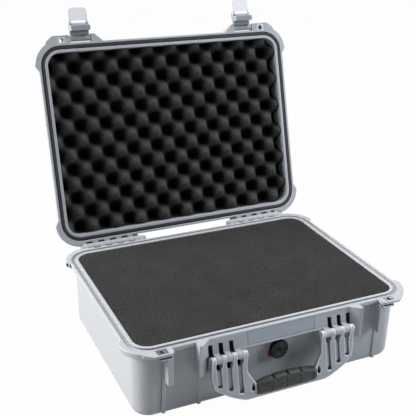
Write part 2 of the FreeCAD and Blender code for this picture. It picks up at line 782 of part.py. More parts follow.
def build_base_fittings():
    """The pins, plates and foam that the base holds."""
    for side, sign in SIDES.items():
        start = f"{sign} * hinge_x - row_half - hinge_gusset"
        length = "2 * (row_half + hinge_gusset)"
        pin(f"hinge_pin_{side}", "hinge_pin_radius", start, "hinge_y", "hinge_z", length)
        start = f"{sign} * handle_foot_x - foot_half"
        pin(f"handle_pin_{side}", "handle_pin_radius", start, "-handle_y", "handle_height", "2 * foot_half")
        padlock_plate(f"padlock_plate_base_{side}", sign, "rim_height - plate_thickness", "rim_height")

    blank = name_slab("name_blank", "0", "0")
    short = number("name_thickness") + NEAR
    soft = round_edges("name_plate", blank, "name_thickness", lambda edge: edge.Length < short)
    keep("name_plate", soft)

    pad = tub_prism("foam_pad_plain", "-foam_gap", "foam_base", "foam_mid")
    keep("foam_floor_pad", round_edges("foam_floor_pad", pad, "floor_rounding", level("foam_base")))
    keep("foam_lower_layer", tub_prism("foam_lower_layer", "-foam_gap", "foam_mid", "foam_upper"))
    keep("foam_upper_layer", tub_prism("foam_upper_layer", "-foam_gap", "foam_upper", "foam_top"))


def build_valve():
    """The purge valve: a body in its boss, a red sealing ring with a pull tab, and a knob that turns."""
    def disc(label, radius, back, front):
        return rod(label, "y", radius, "0", f"-({back})", "valve_height", f"({front}) - ({back})")

    shank_back = "wall_front - wall"
    disc_front = "valve_face + valve_disc_thickness"
    body = (
        disc("valve_shank", "valve_shank_radius", shank_back, "valve_face"),
        disc("valve_disc", "valve_disc_radius", "valve_face", disc_front),
        disc("valve_post", "valve_post_radius", disc_front, "knob_front"),
    )
    keep("valve_body", fuse("valve_body", list(body)))

    ring_front = "valve_face + valve_ring_thickness"
    ring = disc("valve_ring_blank", "valve_ring_outer", "valve_face", ring_front)
    soft = round_edges("valve_ring_soft", ring, "valve_ring_thickness / 3", lambda edge: edge.Closed)
    tab_height = "valve_height - valve_tab_offset"
    across = ("-valve_tab_offset", "-valve_face", tab_height, "valve_ring_thickness")
    tab = rod("valve_ring_tab", "y", "valve_tab_radius", *across)
    keep("valve_seal_ring", cut("valve_seal_ring", fuse("valve_ring_tabbed", [soft, tab]), [
        disc("valve_ring_hole", "valve_ring_inner", "valve_face - overrun", f"{ring_front} + overrun")
    ]))

    blank = disc("knob_blank", "knob_radius", "knob_back", "knob_front")
    soft = round_edges("knob_soft", blank, "edge_rounding", lambda edge: edge.Closed)
    behind = "knob_back - overrun"
    tools = [
        disc("knob_hollow", "valve_disc_radius + valve_play", behind, "knob_front - knob_face"),
        disc("knob_bore", "valve_post_radius + pin_play", behind, "knob_front + overrun"),
    ]
    for index in (1, 2, 3):
        outer = f"knob_radius - {2 * index} * knob_ring_width"
        groove = ("knob_front - knob_ring_depth", "knob_front + overrun")
        tools.append(cut(f"knob_ring_{index}", disc(f"knob_ring_outer_{index}", outer, *groove), [
            disc(f"knob_ring_inner_{index}", f"{outer} - knob_ring_width", *groove)
        ]))
    keep("valve_knob", cut("valve_knob", soft, tools))


def lid_pose():
    """The turn that opens the lid about its hinge."""
    return turn_about("hinge_y", "hinge_z", -number("lid_open_angle"))


def latch_pose():
    """The turn that throws a latch open, on the open lid."""
    return lid_pose().multiply(turn_about("-latch_y", "latch_z", -number("latch_open_angle")))


def build_lid():
    """The lid shell: a shallow drafted crown with its rim, seal channel, ears and hinge row."""
    crown = crown_prism("crown_plain", "wall", "lid_plane", "lid_top")
    crown = round_edges("crown", crown, "lid_rounding", level("lid_top"))
    flange_top = "lid_plane + lid_flange_height"
    solids = [crown, soft_flange("lid", "lid_plane", flange_top)]
    solids.append(bumpers("lid", "lid_plane", "lid_plane + bumper_height"))
    solids += ears("lid", "lid_plane", "lid_plane + lid_ear_height")
    for side, sign in SIDES.items():
        solids += knuckles("lid", sign, side, HINGE_STEPS[:-1], 0.5, "lid_plane", flange_top)
        ends = (f"{sign} * hinge_x - row_half", f"{sign} * hinge_x + row_half")
        y = ("half_depth + wall", "hinge_y + hood_reach")
        heights = ("hinge_z + hinge_radius + hood_gap", flange_top)
        solids.append(box(f"hinge_hood_{side}", ends, y, heights))
        for x in ("outer_rib_x", "inner_rib_x"):
            ends = (f"{sign} * {x} - rib_width / 2", f"{sign} * {x} + rib_width / 2")
            y = ("-half_depth + lid_rib_inset", "half_depth - lid_rib_inset")
            solids.append(box(f"lid_rib_{side}_{x}", ends, y, ("lid_top - wall", "lid_top + lid_rib_height")))

    tools = [crown_prism("lid_cavity", "0", "lid_plane", "lid_plane + lid_depth")]
    channel = ("lid_plane - overrun", "lid_plane + channel_depth")
    tools.append(rim_ring("seal_channel", "ridge_width", "groove_edge", *channel))
    for side, sign in SIDES.items():
        tools.append(hinge_bore("lid", sign, side, "hinge_pin_radius + pin_play"))
        tools.append(hinge_relief(f"hinge_relief_{side}", sign))
        start = f"{sign} * latch_x - latch_pin_half"
        radius = "latch_pin_radius + pin_press"
        tools.append(
            rod(f"ear_bore_{side}", "x", radius, start, "-latch_y", "latch_z", "2 * latch_pin_half")
        )
    tools += padlock_cuts(
        "lid", "lid_plane - overrun", "lid_plane + plate_thickness", "lid_plane - overrun",
        "lid_plane + lid_ear_height + overrun",
    )
    keep("lid_shell", cut("lid_shell", fuse("lid_solids", solids), tools), lid_pose())


def build_lid_fittings():
    """The seal, the latch pins, the padlock plates and the egg-crate foam that the lid holds."""
    sides = ("ridge_width + seal_clearance", "groove_edge - seal_clearance")
    seal = rim_ring("lid_seal", *sides, "lid_plane + seal_sink", "lid_plane + channel_depth")
    keep("lid_seal", seal, lid_pose())

    for side, sign in SIDES.items():
        start = f"{sign} * latch_x - latch_pin_half"
        length = "2 * latch_pin_half"
        pin(f"latch_pin_{side}", "latch_pin_radius", start, "-latch_y", "latch_z", length, lid_pose())
        padlock_plate(
            f"padlock_plate_lid_{side}", sign, "lid_plane", "lid_plane + plate_thickness", lid_pose()
        )

    slab = crown_prism("crate_slab", "-foam_gap", "crate_face", "lid_plane + lid_depth")
    pits = doc.addObject("Part::Feature", "crate_pits")
    pits.Shape = Part.makeCompound(foam_pits())
    keep("lid_foam", cut("lid_foam", slab, [pits]), lid_pose())


def foam_pits():
    """Tapered pits in staggered rows, which leave the egg-crate's peaks between them."""
    step_x, step_y = number("pit_pitch_x"), number("pit_pitch_y")
    mouth, bottom = number("pit_mouth_radius"), number("pit_bottom_radius")
    depth = number("pit_depth")
    wide, deep, face = (number(name) for name in ("half_width", "half_depth", "crate_face"))
    columns, rows = math.ceil(wide / step_x), math.ceil(deep / step_y)
    pits = []
    for row in range(-2 * rows, 2 * rows + 1):
        for column in range(-columns - 1, columns + 2):
            x = (column + PIT_START_SHARES[0] + (row % 2) / 2) * step_x
            y = (row / 2 + PIT_START_SHARES[1]) * step_y
            if abs(x) < wide - bottom and abs(y) < deep - bottom:
                pits.append(Part.makeCone(mouth, bottom, depth, FreeCAD.Vector(x, y, face), Z_AXIS))
    return pits


def latch_place(out, down):
    """A place on a latch in the YZ plane, out from its lid pin and down from it, when latched."""
    return f"-latch_y - ({out})", f"latch_z - ({down})"


def build_latch(side, sign):
    """One throw latch: an arm with a hook on the lid's pin, and a lever pinned across its end."""
    left = f"{sign} * latch_x - latch_width / 2"
    right = f"{sign} * latch_x + latch_width / 2"
    arm_outline = (
        latch_place("arm_inner", "0"),
        latch_place("arm_outer", "0"),
        latch_place("arm_outer", "hook_end"),
        latch_place("-hook_inside", "hook_end"),
        latch_place("-hook_inside", "hook_face"),
        latch_place("arm_inner", "hook_face"),
    )
    solids = [prism(f"arm_plate_{side}", "YZ", arm_outline, left, right)]
    latch_axis = (left, "-latch_y", "latch_z", "latch_width")
    lever_axis = (left, "-lever_y", "lever_z", "latch_width")
    solids.append(rod(f"arm_eye_{side}", "x", "latch_eye_radius", *latch_axis))
    for end, start in (("low", left), ("high", f"{right} - lever_lug_width")):
        label = f"arm_lug_{side}_{end}"
        solids.append(
            rod(label, "x", "lever_eye_radius", start, "-lever_y", "lever_z", "lever_lug_width")
        )
        y = ("-lever_y - lever_eye_radius", "-lever_y + lever_eye_radius")
        z = ("lever_z", "latch_z - hook_face - hook_height / 2")
        solids.append(box(label + "_web", (start, f"{start} + lever_lug_width"), y, z))
    tools = [
        rod(f"arm_bore_{side}", "x", "latch_pin_radius + pin_play", *latch_axis),
        rod(f"lug_pin_bore_{side}", "x", "lever_pin_radius + pin_press", *lever_axis),
    ]
    label = f"latch_arm_{side}"
    keep(label, cut(label, fuse(f"arm_solids_{side}", solids), tools), latch_pose())
    pin(f"latch_lever_pin_{side}", "lever_pin_radius", *lever_axis, latch_pose())

    eye = f"{sign} * latch_x - lever_eye_width / 2"
    neck = (eye, f"{eye} + lever_eye_width")
    inside = "-lever_y + lever_thickness / 2"
    outside = "-lever_y - lever_thickness / 2"
    plate_top = "lever_z - lever_eye_radius - latch_gap"
    plate_end = "lever_z - lever_length"
    outline = (
        (left, plate_top),
        (right, plate_top),
        (right, f"{plate_end} + lever_corner"),
        (f"{right} - lever_corner", plate_end),
        (f"{left} + lever_corner", plate_end),
        (left, f"{plate_end} + lever_corner"),
    )
    solids = [
        rod(f"lever_eye_{side}", "x", "lever_eye_radius", eye, "-lever_y", "lever_z", "lever_eye_width"),
        box(f"lever_neck_{side}", neck, (outside, inside), (plate_top, "lever_z")),
        prism(f"lever_plate_{side}", "XZ", outline, outside, inside),
    ]
    bore = rod(f"lever_bore_{side}", "x", "lever_pin_radius + pin_play", *lever_axis)
    label = f"latch_lever_{side}"
    keep(label, cut(label, fuse(f"lever_solids_{side}", solids), [bore]), latch_pose())


def build_handle():
    """The carry handle: a forked frame on the lugs, flared clear of the wall, with a soft grip."""
    def below(share):
        return f"handle_height - {share} * handle_drop"

    top = "handle_height + leg_eye_radius"
    depth = ("-handle_y - 2 * handle_flare", "-half_depth")
    through = "handle_reach + flange_reach + 2 * handle_flare"
    foot_share, hand_share = HANDLE_INNER_SHARES
    right = [("handle_half", top)]
    right += [(f"{x_share} * handle_half", below(z_share)) for x_share, z_share in HANDLE_OUTER_SHARES]
    inner = [("grip_half", below(hand_share)), ("foot_inner", below(foot_share)), ("foot_inner", top)]
    mirrored = [(f"-({x})", z) for x, z in reversed(inner + right)]
    front_view = prism("handle_front_view", "XZ", inner + right + mirrored, *depth)
    profile = [
        (f"-handle_y - {out_share} * handle_flare", below(z_share))
        for out_share, z_share in HANDLE_FRONT_SHARES + HANDLE_BACK_SHARES
    ]
    side_view = prism("handle_side_view", "YZ", profile, "-handle_half", "handle_half")
    solids = [common("handle_blank", [front_view, side_view])]
    tools = []
    for side, sign in SIDES.items():
        foot = f"{sign} * handle_foot_x"
        for index, step in enumerate(LEG_STEPS):
            start = f"{foot} + {step} * leg_pitch - leg_width / 2"
            axis = (start, "-handle_y", "handle_height", "leg_width")
            solids.append(rod(f"leg_eye_{side}_{index}", "x", "leg_eye_radius", *axis))
        for index, (step, share) in enumerate(zip(LUG_STEPS, SLIT_SHARES)):
            middle = f"{sign} * (handle_foot_x + {step} * leg_pitch)"
            fork = "lug_width / 2 + lug_gap"
            x = (f"{middle} - ({fork})", f"{middle} + {fork}")
            tools.append(box(f"leg_fork_{side}_{index}", x, depth, ("yoke_height", f"{top} + overrun")))
            x = (f"{middle} - slit_width / 2", f"{middle} + slit_width / 2")
            tools.append(box(f"leg_slit_{side}_{index}", x, depth, (below(share), "yoke_height + overrun")))
        start = f"{foot} - foot_half - overrun"
        axis = (start, "-handle_y", "handle_height", "2 * foot_half + 2 * overrun")
        tools.append(rod(f"leg_bore_{side}", "x", "handle_pin_radius + pin_play", *axis))
        middle = f"{sign} * (grip_half + 2 * eyelet_radius)"
        drop = [
            (f"{middle} + {across} * eyelet_radius", f"{below(EYELET_SHARE)} + {up} * eyelet_radius")
            for across, up in EYELET_OUTLINE_SHARES
        ]
        tools.append(prism(f"eyelet_{side}", "XZ", drop, *depth))
    behind = ("-handle_y - bar_back", "-half_depth")
    tools.append(box("bar_relief", ("-grip_half", "grip_half"), behind, ("handle_bottom", top)))
    frame = cut("handle_frame", fuse("handle_solids", solids), tools)
    keep("handle_frame", frame)

    bar_top = below(hand_share)
    x = ("-grip_half", "grip_half")
    y = ("-handle_y - handle_flare - grip_front_cover", "-handle_y - bar_back + grip_back_cover")
    z = ("handle_bottom + grip_bottom_rise", f"{bar_top} + grip_top_cover")
    blank = box("grip_blank", x, y, z)
    soft = round_edges("grip_soft", blank, "grip_rounding", lambda edge: edge.BoundBox.XLength > 0)
    low, high = z
    crown = [
        (f"{across} * grip_half", f"{low} + {share} * ({high} - ({low}))")
        for across, share in GRIP_TOP_SHARES
    ]
    outline = [(f"-({x})", height) for x, height in reversed(crown[1:])] + crown
    outline += [("grip_half", low), ("-grip_half", low)]
    soft = common("grip_crowned", [soft, prism("grip_outline", "XZ", outline, *y)])
    tools = [frame]
    for index, step in enumerate(FINGER_STEPS):
        height = f"{bar_top} + grip_top_cover + finger_radius - finger_depth"
        axis = (f"{step} * finger_pitch", "-half_depth", height, through)
        tools.append(rod(f"grip_groove_{index}", "y", "finger_radius", *axis))
    keep("handle_grip", cut("handle_grip", soft, tools))


def check_document():
    """Stops at any object that failed and at any sub-part without one sound solid."""
    failed = [thing.Label for thing in doc.Objects if {"Invalid", "Error"} & set(thing.State)]
    if failed:
        raise RuntimeError(f"not built: {failed}")
    for label, thing in nodes.items():
        if thing.Shape.isNull() or not thing.Shape.isValid() or len(thing.Shape.Solids) != 1:
            raise RuntimeError(f"{label} isn't one sound solid: {len(thing.Shape.Solids)} solids")


def write_parts():
    """Writes each sub-part to its own file."""
    os.makedirs("parts", exist_ok=True)
    for label, thing in nodes.items():
        thing.Shape.exportStep(os.path.join("parts", label + ".step"))


def print_places():
    """Prints the joint axes and the padlock holes at rest, for the record."""
    latch = lid_pose().multVec(FreeCAD.Vector(0, -number("latch_y"), number("latch_z")))
    lever = latch_pose().multVec(FreeCAD.Vector(0, -number("lever_y"), number("lever_z")))
    padlock = FreeCAD.Vector(number("padlock_x"), -number("padlock_y"), number("lid_plane"))
    print("hinge", number("hinge_y"), number("hinge_z"))
    print("latch pin", latch)
    print("lever pin", lever)
    print("handle", -number("handle_y"), number("handle_height"))
    print("lid padlock hole", lid_pose().multVec(padlock), lid_pose().Rotation.multVec(Z_AXIS))
    print("base padlock hole", number("padlock_x"), -number("padlock_y"), number("rim_height"))


fill_sheet()
build_base()
build_base_fittings()
build_valve()
build_lid()
build_lid_fittings()
for latch_side, latch_sign in SIDES.items():
    build_latch(latch_side, latch_sign)
build_handle()
doc.recompute()
check_document()
write_parts()
print_places()
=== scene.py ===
"""A protective hard case standing open: moulded shells, foam inserts, throw latches, handle and vent valve.

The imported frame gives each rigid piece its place. This script dresses those pieces with rounded edges and
finishes, shapes the foam, the seal and the grip that the plain solids only stand for, and ribs the knob.
"""

import json
import logging
import math
from collections.abc import Callable, Mapping, Sequence
from dataclasses import dataclass
from enum import Enum

import bmesh
import bpy
from bmesh.types import BMesh, BMFace
from bpy.types import Material, Mesh, MeshPolygon, Node, NodeSocket, NodeTree, Object
from mathutils import Matrix, Vector, kdtree, noise
from mathutils.bvhtree import BVHTree


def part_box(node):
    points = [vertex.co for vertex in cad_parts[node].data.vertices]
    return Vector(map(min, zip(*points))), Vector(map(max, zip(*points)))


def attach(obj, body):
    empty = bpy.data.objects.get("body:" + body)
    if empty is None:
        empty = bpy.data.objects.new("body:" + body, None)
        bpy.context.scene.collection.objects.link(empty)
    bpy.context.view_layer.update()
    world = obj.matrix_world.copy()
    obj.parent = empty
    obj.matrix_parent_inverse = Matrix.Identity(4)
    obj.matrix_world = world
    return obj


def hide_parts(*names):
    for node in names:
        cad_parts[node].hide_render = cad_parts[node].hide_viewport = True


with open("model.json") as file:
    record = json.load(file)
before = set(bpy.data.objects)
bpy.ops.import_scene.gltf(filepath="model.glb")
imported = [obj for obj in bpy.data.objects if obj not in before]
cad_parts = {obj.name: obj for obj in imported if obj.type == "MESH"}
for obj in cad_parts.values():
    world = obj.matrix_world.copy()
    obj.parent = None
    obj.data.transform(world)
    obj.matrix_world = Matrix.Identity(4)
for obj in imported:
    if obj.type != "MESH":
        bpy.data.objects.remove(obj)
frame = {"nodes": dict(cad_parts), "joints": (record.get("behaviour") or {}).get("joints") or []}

LOG = logging.getLogger("hard_case")
MM = 0.001

# Attributes from 0 to 1 that the meshes carry and the finishes read.
# Rounded edges, which the plastics paint paler, as wear and as painted highlight.
EDGE_WEAR_AND_HIGHLIGHT = "edge_wear_and_highlight"
# How closely a face is walled in, which the plastics darken as painted shade.
RECESS_SHADE = "painted_recess_shade"
# How deep a point lies in the egg-crate's pits, which the foam darkens as painted shade.
PIT_DEPTH = "pit_depth"

# Types of the nodes that are used most, and places of the sockets whose names repeat on their node.
MATH = "ShaderNodeMath"
VECTOR_MATH = "ShaderNodeVectorMath"
MIX = "ShaderNodeMix"
RANGE = "ShaderNodeMapRange"
NOISE = "ShaderNodeTexNoise"
FACTOR, COLOUR_A, COLOUR_B = 0, 6, 7
MIXED_COLOUR = 2
FROM_LOW, FROM_HIGH, TO_LOW, TO_HIGH = 1, 2, 3, 4

# How a solid's loose triangles are joined: nearness in metres, and the bend of a flat face in degrees.
MERGE_M = 2e-6
FLAT_DEG = 0.5

# How edges are rounded: the bend of a sharp edge in degrees, the steps across a rounding, and how often
# tight places are left out before a solid keeps its sharp edges.
SHARP_DEG = 50.0
ROUNDING_STEPS = 2
ROUNDING_TRIES = 6

# What is a fault in a rounding: a face turned from the solid and large enough to be seen, or a point
# further from the solid than this share of the rounding's width.
TURNED_COS = 0.1
SEEN_M2 = 1e-8
STRAY_SHARE = 1.05


class Body(Enum):
    """The bodies that pieces ride on."""

    BASE = "base"
    LID = "lid"
    HANDLE = "handle"
    KNOB = "valve_knob"


class Side(Enum):
    """The two ends of the case, as they are named in the frame."""

    LEFT = "left"
    RIGHT = "right"


def linear(code: str) -> tuple[float, float, float, float]:
    """Turns an sRGB hex value into linear colour.

    Args:
        code: the colour as "#rrggbb".

    Returns:
        Linear red, green and blue, with an alpha of 1.
    """
    parts = [int(code[start:start + 2], 16) / 255 for start in (1, 3, 5)]
    red, green, blue = (
        part / 12.92 if part <= 0.04045 else ((part + 0.055) / 1.055) ** 2.4 for part in parts
    )
    return red, green, blue, 1.0


def add_node(
    tree: NodeTree, kind: str, feeds: Mapping[int | str, object] | None = None, **settings: object
) -> Node:
    """Adds a node with its settings, and links or sets its inputs.

    Args:
        tree: the node tree that takes the node.
        kind: the node's type name.
        feeds: for an input's name or place, the socket linked to it or the value set on it.
        settings: the node's own properties.

    Returns:
        The new node.
    """
    made = tree.nodes.new(kind)
    for key, value in settings.items():
        setattr(made, key, value)
    for key, value in (feeds or {}).items():
        if isinstance(value, NodeSocket):
            tree.links.new(value, made.inputs[key])
        else:
            made.inputs[key].default_value = value
    return made


@dataclass(frozen=True)
class Finish:
    """A material and the record's slot that it belongs to.

    Each kind of finish says in dress() what its surface shows.
    """

    name: str
    slot: str
    colour: str
    shade: str
    roughness: float

    def material(self) -> Material:
        """Builds the material on first use.

        Returns:
            The one material of this finish.
        """
        found = bpy.data.materials.get(self.name)
        if found:
            return found
        made = bpy.data.materials.new(self.name)
        made.use_nodes = True
        shader = made.node_tree.nodes["Principled BSDF"]
        place = add_node(made.node_tree, "ShaderNodeTexCoord").outputs["Object"]
        self.dress(made.node_tree, shader, place)
        return made

    def dress(self, tree: NodeTree, shader: Node, place: NodeSocket) -> None:
        """Adds the nodes of the finish.

        Args:
            tree: the material's node tree.
            shader: its Principled BSDF.
            place: the Object coordinates, in metres.
        """
        raise NotImplementedError


@dataclass(frozen=True)
class MouldedPlastic(Finish):
    """Injection-moulded polymer with a spark-eroded grain.

    The grain breaks up the highlights, slow clouds of tone follow the melt's flow, rounded edges are
    painted paler as wear and as painted highlight, and slots and grooves are darkened with painted shade.
    """

    # The colour of the rounded edges: partly wear, partly painted highlight.
    worn_highlight: str
    grain_mm: float = 1.8
    flow_mm: float = 130.0
    relief: float = 0.12
    relief_mm: float = 0.4
    # How much the deepest recesses are darkened, as painted shade.
    dust: float = 0.85
    smoother: float = 0.06
    rougher: float = 0.08
    specular: float = 0.4
    ior: float = 1.49

    def dress(self, tree: NodeTree, shader: Node, place: NodeSocket) -> None:
        """Adds flow clouds, grain, painted edge highlights with wear, painted recess shade and an uneven
        sheen.

        Args:
            tree: the material's node tree.
            shader: its Principled BSDF.
            place: the Object coordinates, in metres.
        """
        flow = add_node(tree, NOISE, {
            "Vector": place, "Scale": 1 / (self.flow_mm * MM), "Detail": 3.0, "Roughness": 0.55,
        }).outputs[0]
        # Spark-eroded grain is about 0.3 mm across; it is drawn coarser so that it shows.
        grain = add_node(tree, NOISE, {
            "Vector": place, "Scale": 1 / (self.grain_mm * MM), "Detail": 2.0, "Roughness": 0.6,
        }).outputs[0]
        tone = add_node(tree, MIX, {
            FACTOR: flow, COLOUR_A: linear(self.colour), COLOUR_B: linear(self.shade),
        }, data_type="RGBA").outputs[MIXED_COLOUR]
        speck = add_node(tree, RANGE, {
            "Value": grain, FROM_LOW: 0.35, FROM_HIGH: 0.7, TO_LOW: 0.95, TO_HIGH: 1.06,
        }).outputs[0]
        grained = add_node(tree, VECTOR_MATH, {0: tone, "Scale": speck}, operation="SCALE").outputs[0]

        # Rounded edges are painted paler, as wear and as painted highlight, in patches as large as the
        # clouds.
        edge = add_node(tree, "ShaderNodeAttribute", attribute_name=EDGE_WEAR_AND_HIGHLIGHT).outputs["Fac"]
        rub = add_node(tree, RANGE, {
            "Value": flow, FROM_LOW: 0.25, FROM_HIGH: 0.6, TO_LOW: 0.35, TO_HIGH: 1.0,
        }).outputs[0]
        patchy_highlight = add_node(tree, MATH, {0: edge, 1: rub}, operation="MULTIPLY").outputs[0]
        worn_and_lit = add_node(tree, MIX, {
            FACTOR: patchy_highlight, COLOUR_A: grained, COLOUR_B: linear(self.worn_highlight),
        }, data_type="RGBA").outputs[MIXED_COLOUR]

        # Painted shade: the deeper a recess, the darker its colour is painted.
        painted_recess_shade = add_node(tree, "ShaderNodeAttribute", attribute_name=RECESS_SHADE).outputs["Fac"]
        unshaded_share = add_node(tree, RANGE, {"Value": painted_recess_shade, TO_LOW: 1.0, TO_HIGH: 1.0 - self.dust}).outputs[0]
        recess_shaded = add_node(tree, VECTOR_MATH, {0: worn_and_lit, "Scale": unshaded_share}, operation="SCALE").outputs[0]
        tree.links.new(recess_shaded, shader.inputs["Base Color"])
        gloss = add_node(tree, RANGE, {
            "Value": grain, TO_LOW: self.roughness - self.smoother, TO_HIGH: self.roughness + self.rougher,
        }).outputs[0]
        tree.links.new(gloss, shader.inputs["Roughness"])
        relief = add_node(tree, "ShaderNodeBump", {
            "Height": grain, "Strength": self.relief, "Distance": self.relief_mm * MM,
        }).outputs[0]
        tree.links.new(relief, shader.inputs["Normal"])
        shader.inputs["IOR"].default_value = self.ior
        shader.inputs["Specular IOR Level"].default_value = self.specular


@dataclass(frozen=True)
class OpenCellFoam(Finish):
    """Cut polyurethane ether foam.

    Open cells make it matt and speckled, with no highlight, the cut leaves it slightly uneven, and the deep
    pits of a convoluted face are darkened with painted shade.
    """

    cell_mm: float = 2.6
    flecks_per_cell: float = 1.2
    uneven_mm: float = 60.0
    relief: float = 0.45
    relief_mm: float = 0.8
    smoother: float = 0.1
    specular: float = 0.03
    sheen: float = 0.02

    def dress(self, tree: NodeTree, shader: Node, place: NodeSocket) -> None:
        """Adds open cells, flecks, uneven dye, painted shade in the pits and a dusty sheen to the foam.

        Args:
            tree: the material's node tree.
            shader: its Principled BSDF.
            place: the Object coordinates, in metres.
        """
        # The cells are about 0.8 mm across; they and their flecks are drawn coarser so that they show.
        cells = add_node(tree, "ShaderNodeTexVoronoi", {
            "Vector": place, "Scale": 1 / (self.cell_mm * MM), "Randomness": 1.0,
        }).outputs["Distance"]
        dust = add_node(tree, NOISE, {
            "Vector": place, "Scale": self.flecks_per_cell / (self.cell_mm * MM),
            "Detail": 4.0, "Roughness": 0.7,
        }).outputs[0]
        dye = add_node(tree, NOISE, {
            "Vector": place, "Scale": 1 / (self.uneven_mm * MM), "Detail": 2.0,
        }).outputs[0]
        tone = add_node(tree, MIX, {
            FACTOR: dye, COLOUR_A: linear(self.colour), COLOUR_B: linear(self.shade),
        }, data_type="RGBA").outputs[MIXED_COLOUR]
        wall = add_node(tree, RANGE, {
            "Value": cells, FROM_LOW: 0.1, FROM_HIGH: 0.75, TO_LOW: 0.7, TO_HIGH: 1.2,
        }).outputs[0]
        fleck = add_node(tree, RANGE, {
            "Value": dust, FROM_LOW: 0.3, FROM_HIGH: 0.7, TO_LOW: 0.6, TO_HIGH: 1.4,
        }).outputs[0]
        both = add_node(tree, MATH, {0: wall, 1: fleck}, operation="MULTIPLY").outputs[0]
        pored = add_node(tree, VECTOR_MATH, {0: tone, "Scale": both}, operation="SCALE").outputs[0]

        # Painted shade: the deeper a point lies in a pit, the darker its colour is painted, down to almost
        # black.
        pit = add_node(tree, "ShaderNodeAttribute", attribute_name=PIT_DEPTH).outputs["Fac"]
        pit_shade = add_node(tree, RANGE, {
            "Value": pit, FROM_LOW: 0.1, FROM_HIGH: 0.76, TO_LOW: 1.0, TO_HIGH: 0.03,
        }, interpolation_type="SMOOTHSTEP").outputs[0]
        pit_shaded = add_node(tree, VECTOR_MATH, {0: pored, "Scale": pit_shade}, operation="SCALE").outputs[0]
        tree.links.new(pit_shaded, shader.inputs["Base Color"])
        rough = add_node(tree, RANGE, {
            "Value": dust, TO_LOW: self.roughness - self.smoother, TO_HIGH: self.roughness,
        }).outputs[0]
        tree.links.new(rough, shader.inputs["Roughness"])
        relief = add_node(tree, "ShaderNodeBump", {
            "Height": cells, "Strength": self.relief, "Distance": self.relief_mm * MM,
        }).outputs[0]
        tree.links.new(relief, shader.inputs["Normal"])
        shader.inputs["Specular IOR Level"].default_value = self.specular
        shader.inputs["Sheen Weight"].default_value = self.sheen


@dataclass(frozen=True)
class MouldedRubber(Finish):
    """Moulded elastomer with a faint bloom: soft broad highlights, and patches where the bloom dulls it."""

    grain_mm: float = 1.5
    bloom_mm: float = 18.0
    relief: float = 0.2
    relief_mm: float = 0.3
    smoother: float = 0.08
    rougher: float = 0.1
    specular: float = 0.3
    ior: float = 1.52

    def dress(self, tree: NodeTree, shader: Node, place: NodeSocket) -> None:
        """Adds bloom and a fine grain to the rubber.

        Args:
            tree: the material's node tree.
            shader: its Principled BSDF.
            place: the Object coordinates, in metres.
        """
        cloud = add_node(tree, NOISE, {
            "Vector": place, "Scale": 1 / (self.bloom_mm * MM), "Detail": 5.0, "Roughness": 0.7,
        }).outputs[0]
        bloom = add_node(tree, RANGE, {"Value": cloud, FROM_LOW: 0.3, FROM_HIGH: 0.7}).outputs[0]
        # The mould's grain is about 0.2 mm across; it is drawn coarser so that it shows.
        grain = add_node(tree, NOISE, {
            "Vector": place, "Scale": 1 / (self.grain_mm * MM), "Detail": 2.0,
        }).outputs[0]
        tone = add_node(tree, MIX, {
            FACTOR: bloom, COLOUR_A: linear(self.colour), COLOUR_B: linear(self.shade),
        }, data_type="RGBA").outputs[MIXED_COLOUR]
        tree.links.new(tone, shader.inputs["Base Color"])
        gloss = add_node(tree, RANGE, {
            "Value": bloom, TO_LOW: self.roughness - self.smoother, TO_HIGH: self.roughness + self.rougher,
        }).outputs[0]
        tree.links.new(gloss, shader.inputs["Roughness"])
        relief = add_node(tree, "ShaderNodeBump", {
            "Height": grain, "Strength": self.relief, "Distance": self.relief_mm * MM,
        }).outputs[0]
        tree.links.new(relief, shader.inputs["Normal"])
        shader.inputs["IOR"].default_value = self.ior
        shader.inputs["Specular IOR Level"].default_value = self.specular


@dataclass(frozen=True)
class BrushedMetal(Finish):
    """Stamped or drawn stainless steel: the brushing stretches its highlights along X."""

    line_mm: float = 0.9
    squeeze_x: float = 0.05
    smoother: float = 0.06
    rougher: float = 0.12

    def dress(self, tree: NodeTree, shader: Node, place: NodeSocket) -> None:
        """Adds brush lines to the metal's colour and gloss.

        Args:
            tree: the material's node tree.
            shader: its Principled BSDF.
            place: the Object coordinates, in metres.
        """
        # Brush lines are about 0.1 mm apart; they are drawn coarser so that they show.
        stretched = add_node(tree, "ShaderNodeMapping", {
            "Vector": place, "Scale": (self.squeeze_x, 1.0, 1.0),
        }).outputs[0]
        lines = add_node(tree, NOISE, {
            "Vector": stretched, "Scale": 1 / (self.line_mm * MM), "Detail": 3.0,
        }).outputs[0]
        tone = add_node(tree, MIX, {
            FACTOR: lines, COLOUR_A: linear(self.colour), COLOUR_B: linear(self.shade),
        }, data_type="RGBA").outputs[MIXED_COLOUR]
        tree.links.new(tone, shader.inputs["Base Color"])
        gloss = add_node(tree, RANGE, {
            "Value": lines, TO_LOW: self.roughness - self.smoother, TO_HIGH: self.roughness + self.rougher,
        }).outputs[0]
        tree.links.new(gloss, shader.inputs["Roughness"])
        shader.inputs["Metallic"].default_value = 1.0


# Polypropylene from a grained mould: an even silver grey with broad, soft highlights and edges painted a
# little paler as wear and highlight.
SHELL = MouldedPlastic(
    "polypropylene_moulded_silver_grey", "shell_plastic", "#adaeb0", "#a0a2a5", 0.42, worn_highlight="#b5b7ba",
)
# Nylon from a smooth mould: glossier than the shell, with edges painted pale as wear and as highlight.
HANDLE = MouldedPlastic(
    "nylon_moulded_silver_grey", "shell_plastic", "#a6a9ad", "#9b9ea3", 0.22, worn_highlight="#e4e6e8",
    grain_mm=1.2, relief=0.06, specular=0.6,
)
# ABS from a smooth mould, given a darker grey than the lever as painted shade, with edges painted pale as
# highlight.
SHADED_LATCH = MouldedPlastic(
    "abs_moulded_grey_painted_shade", "latch_plastic", "#8f9296", "#84878c", 0.28, worn_highlight="#dcdee0", grain_mm=1.2,
    relief=0.06,
)
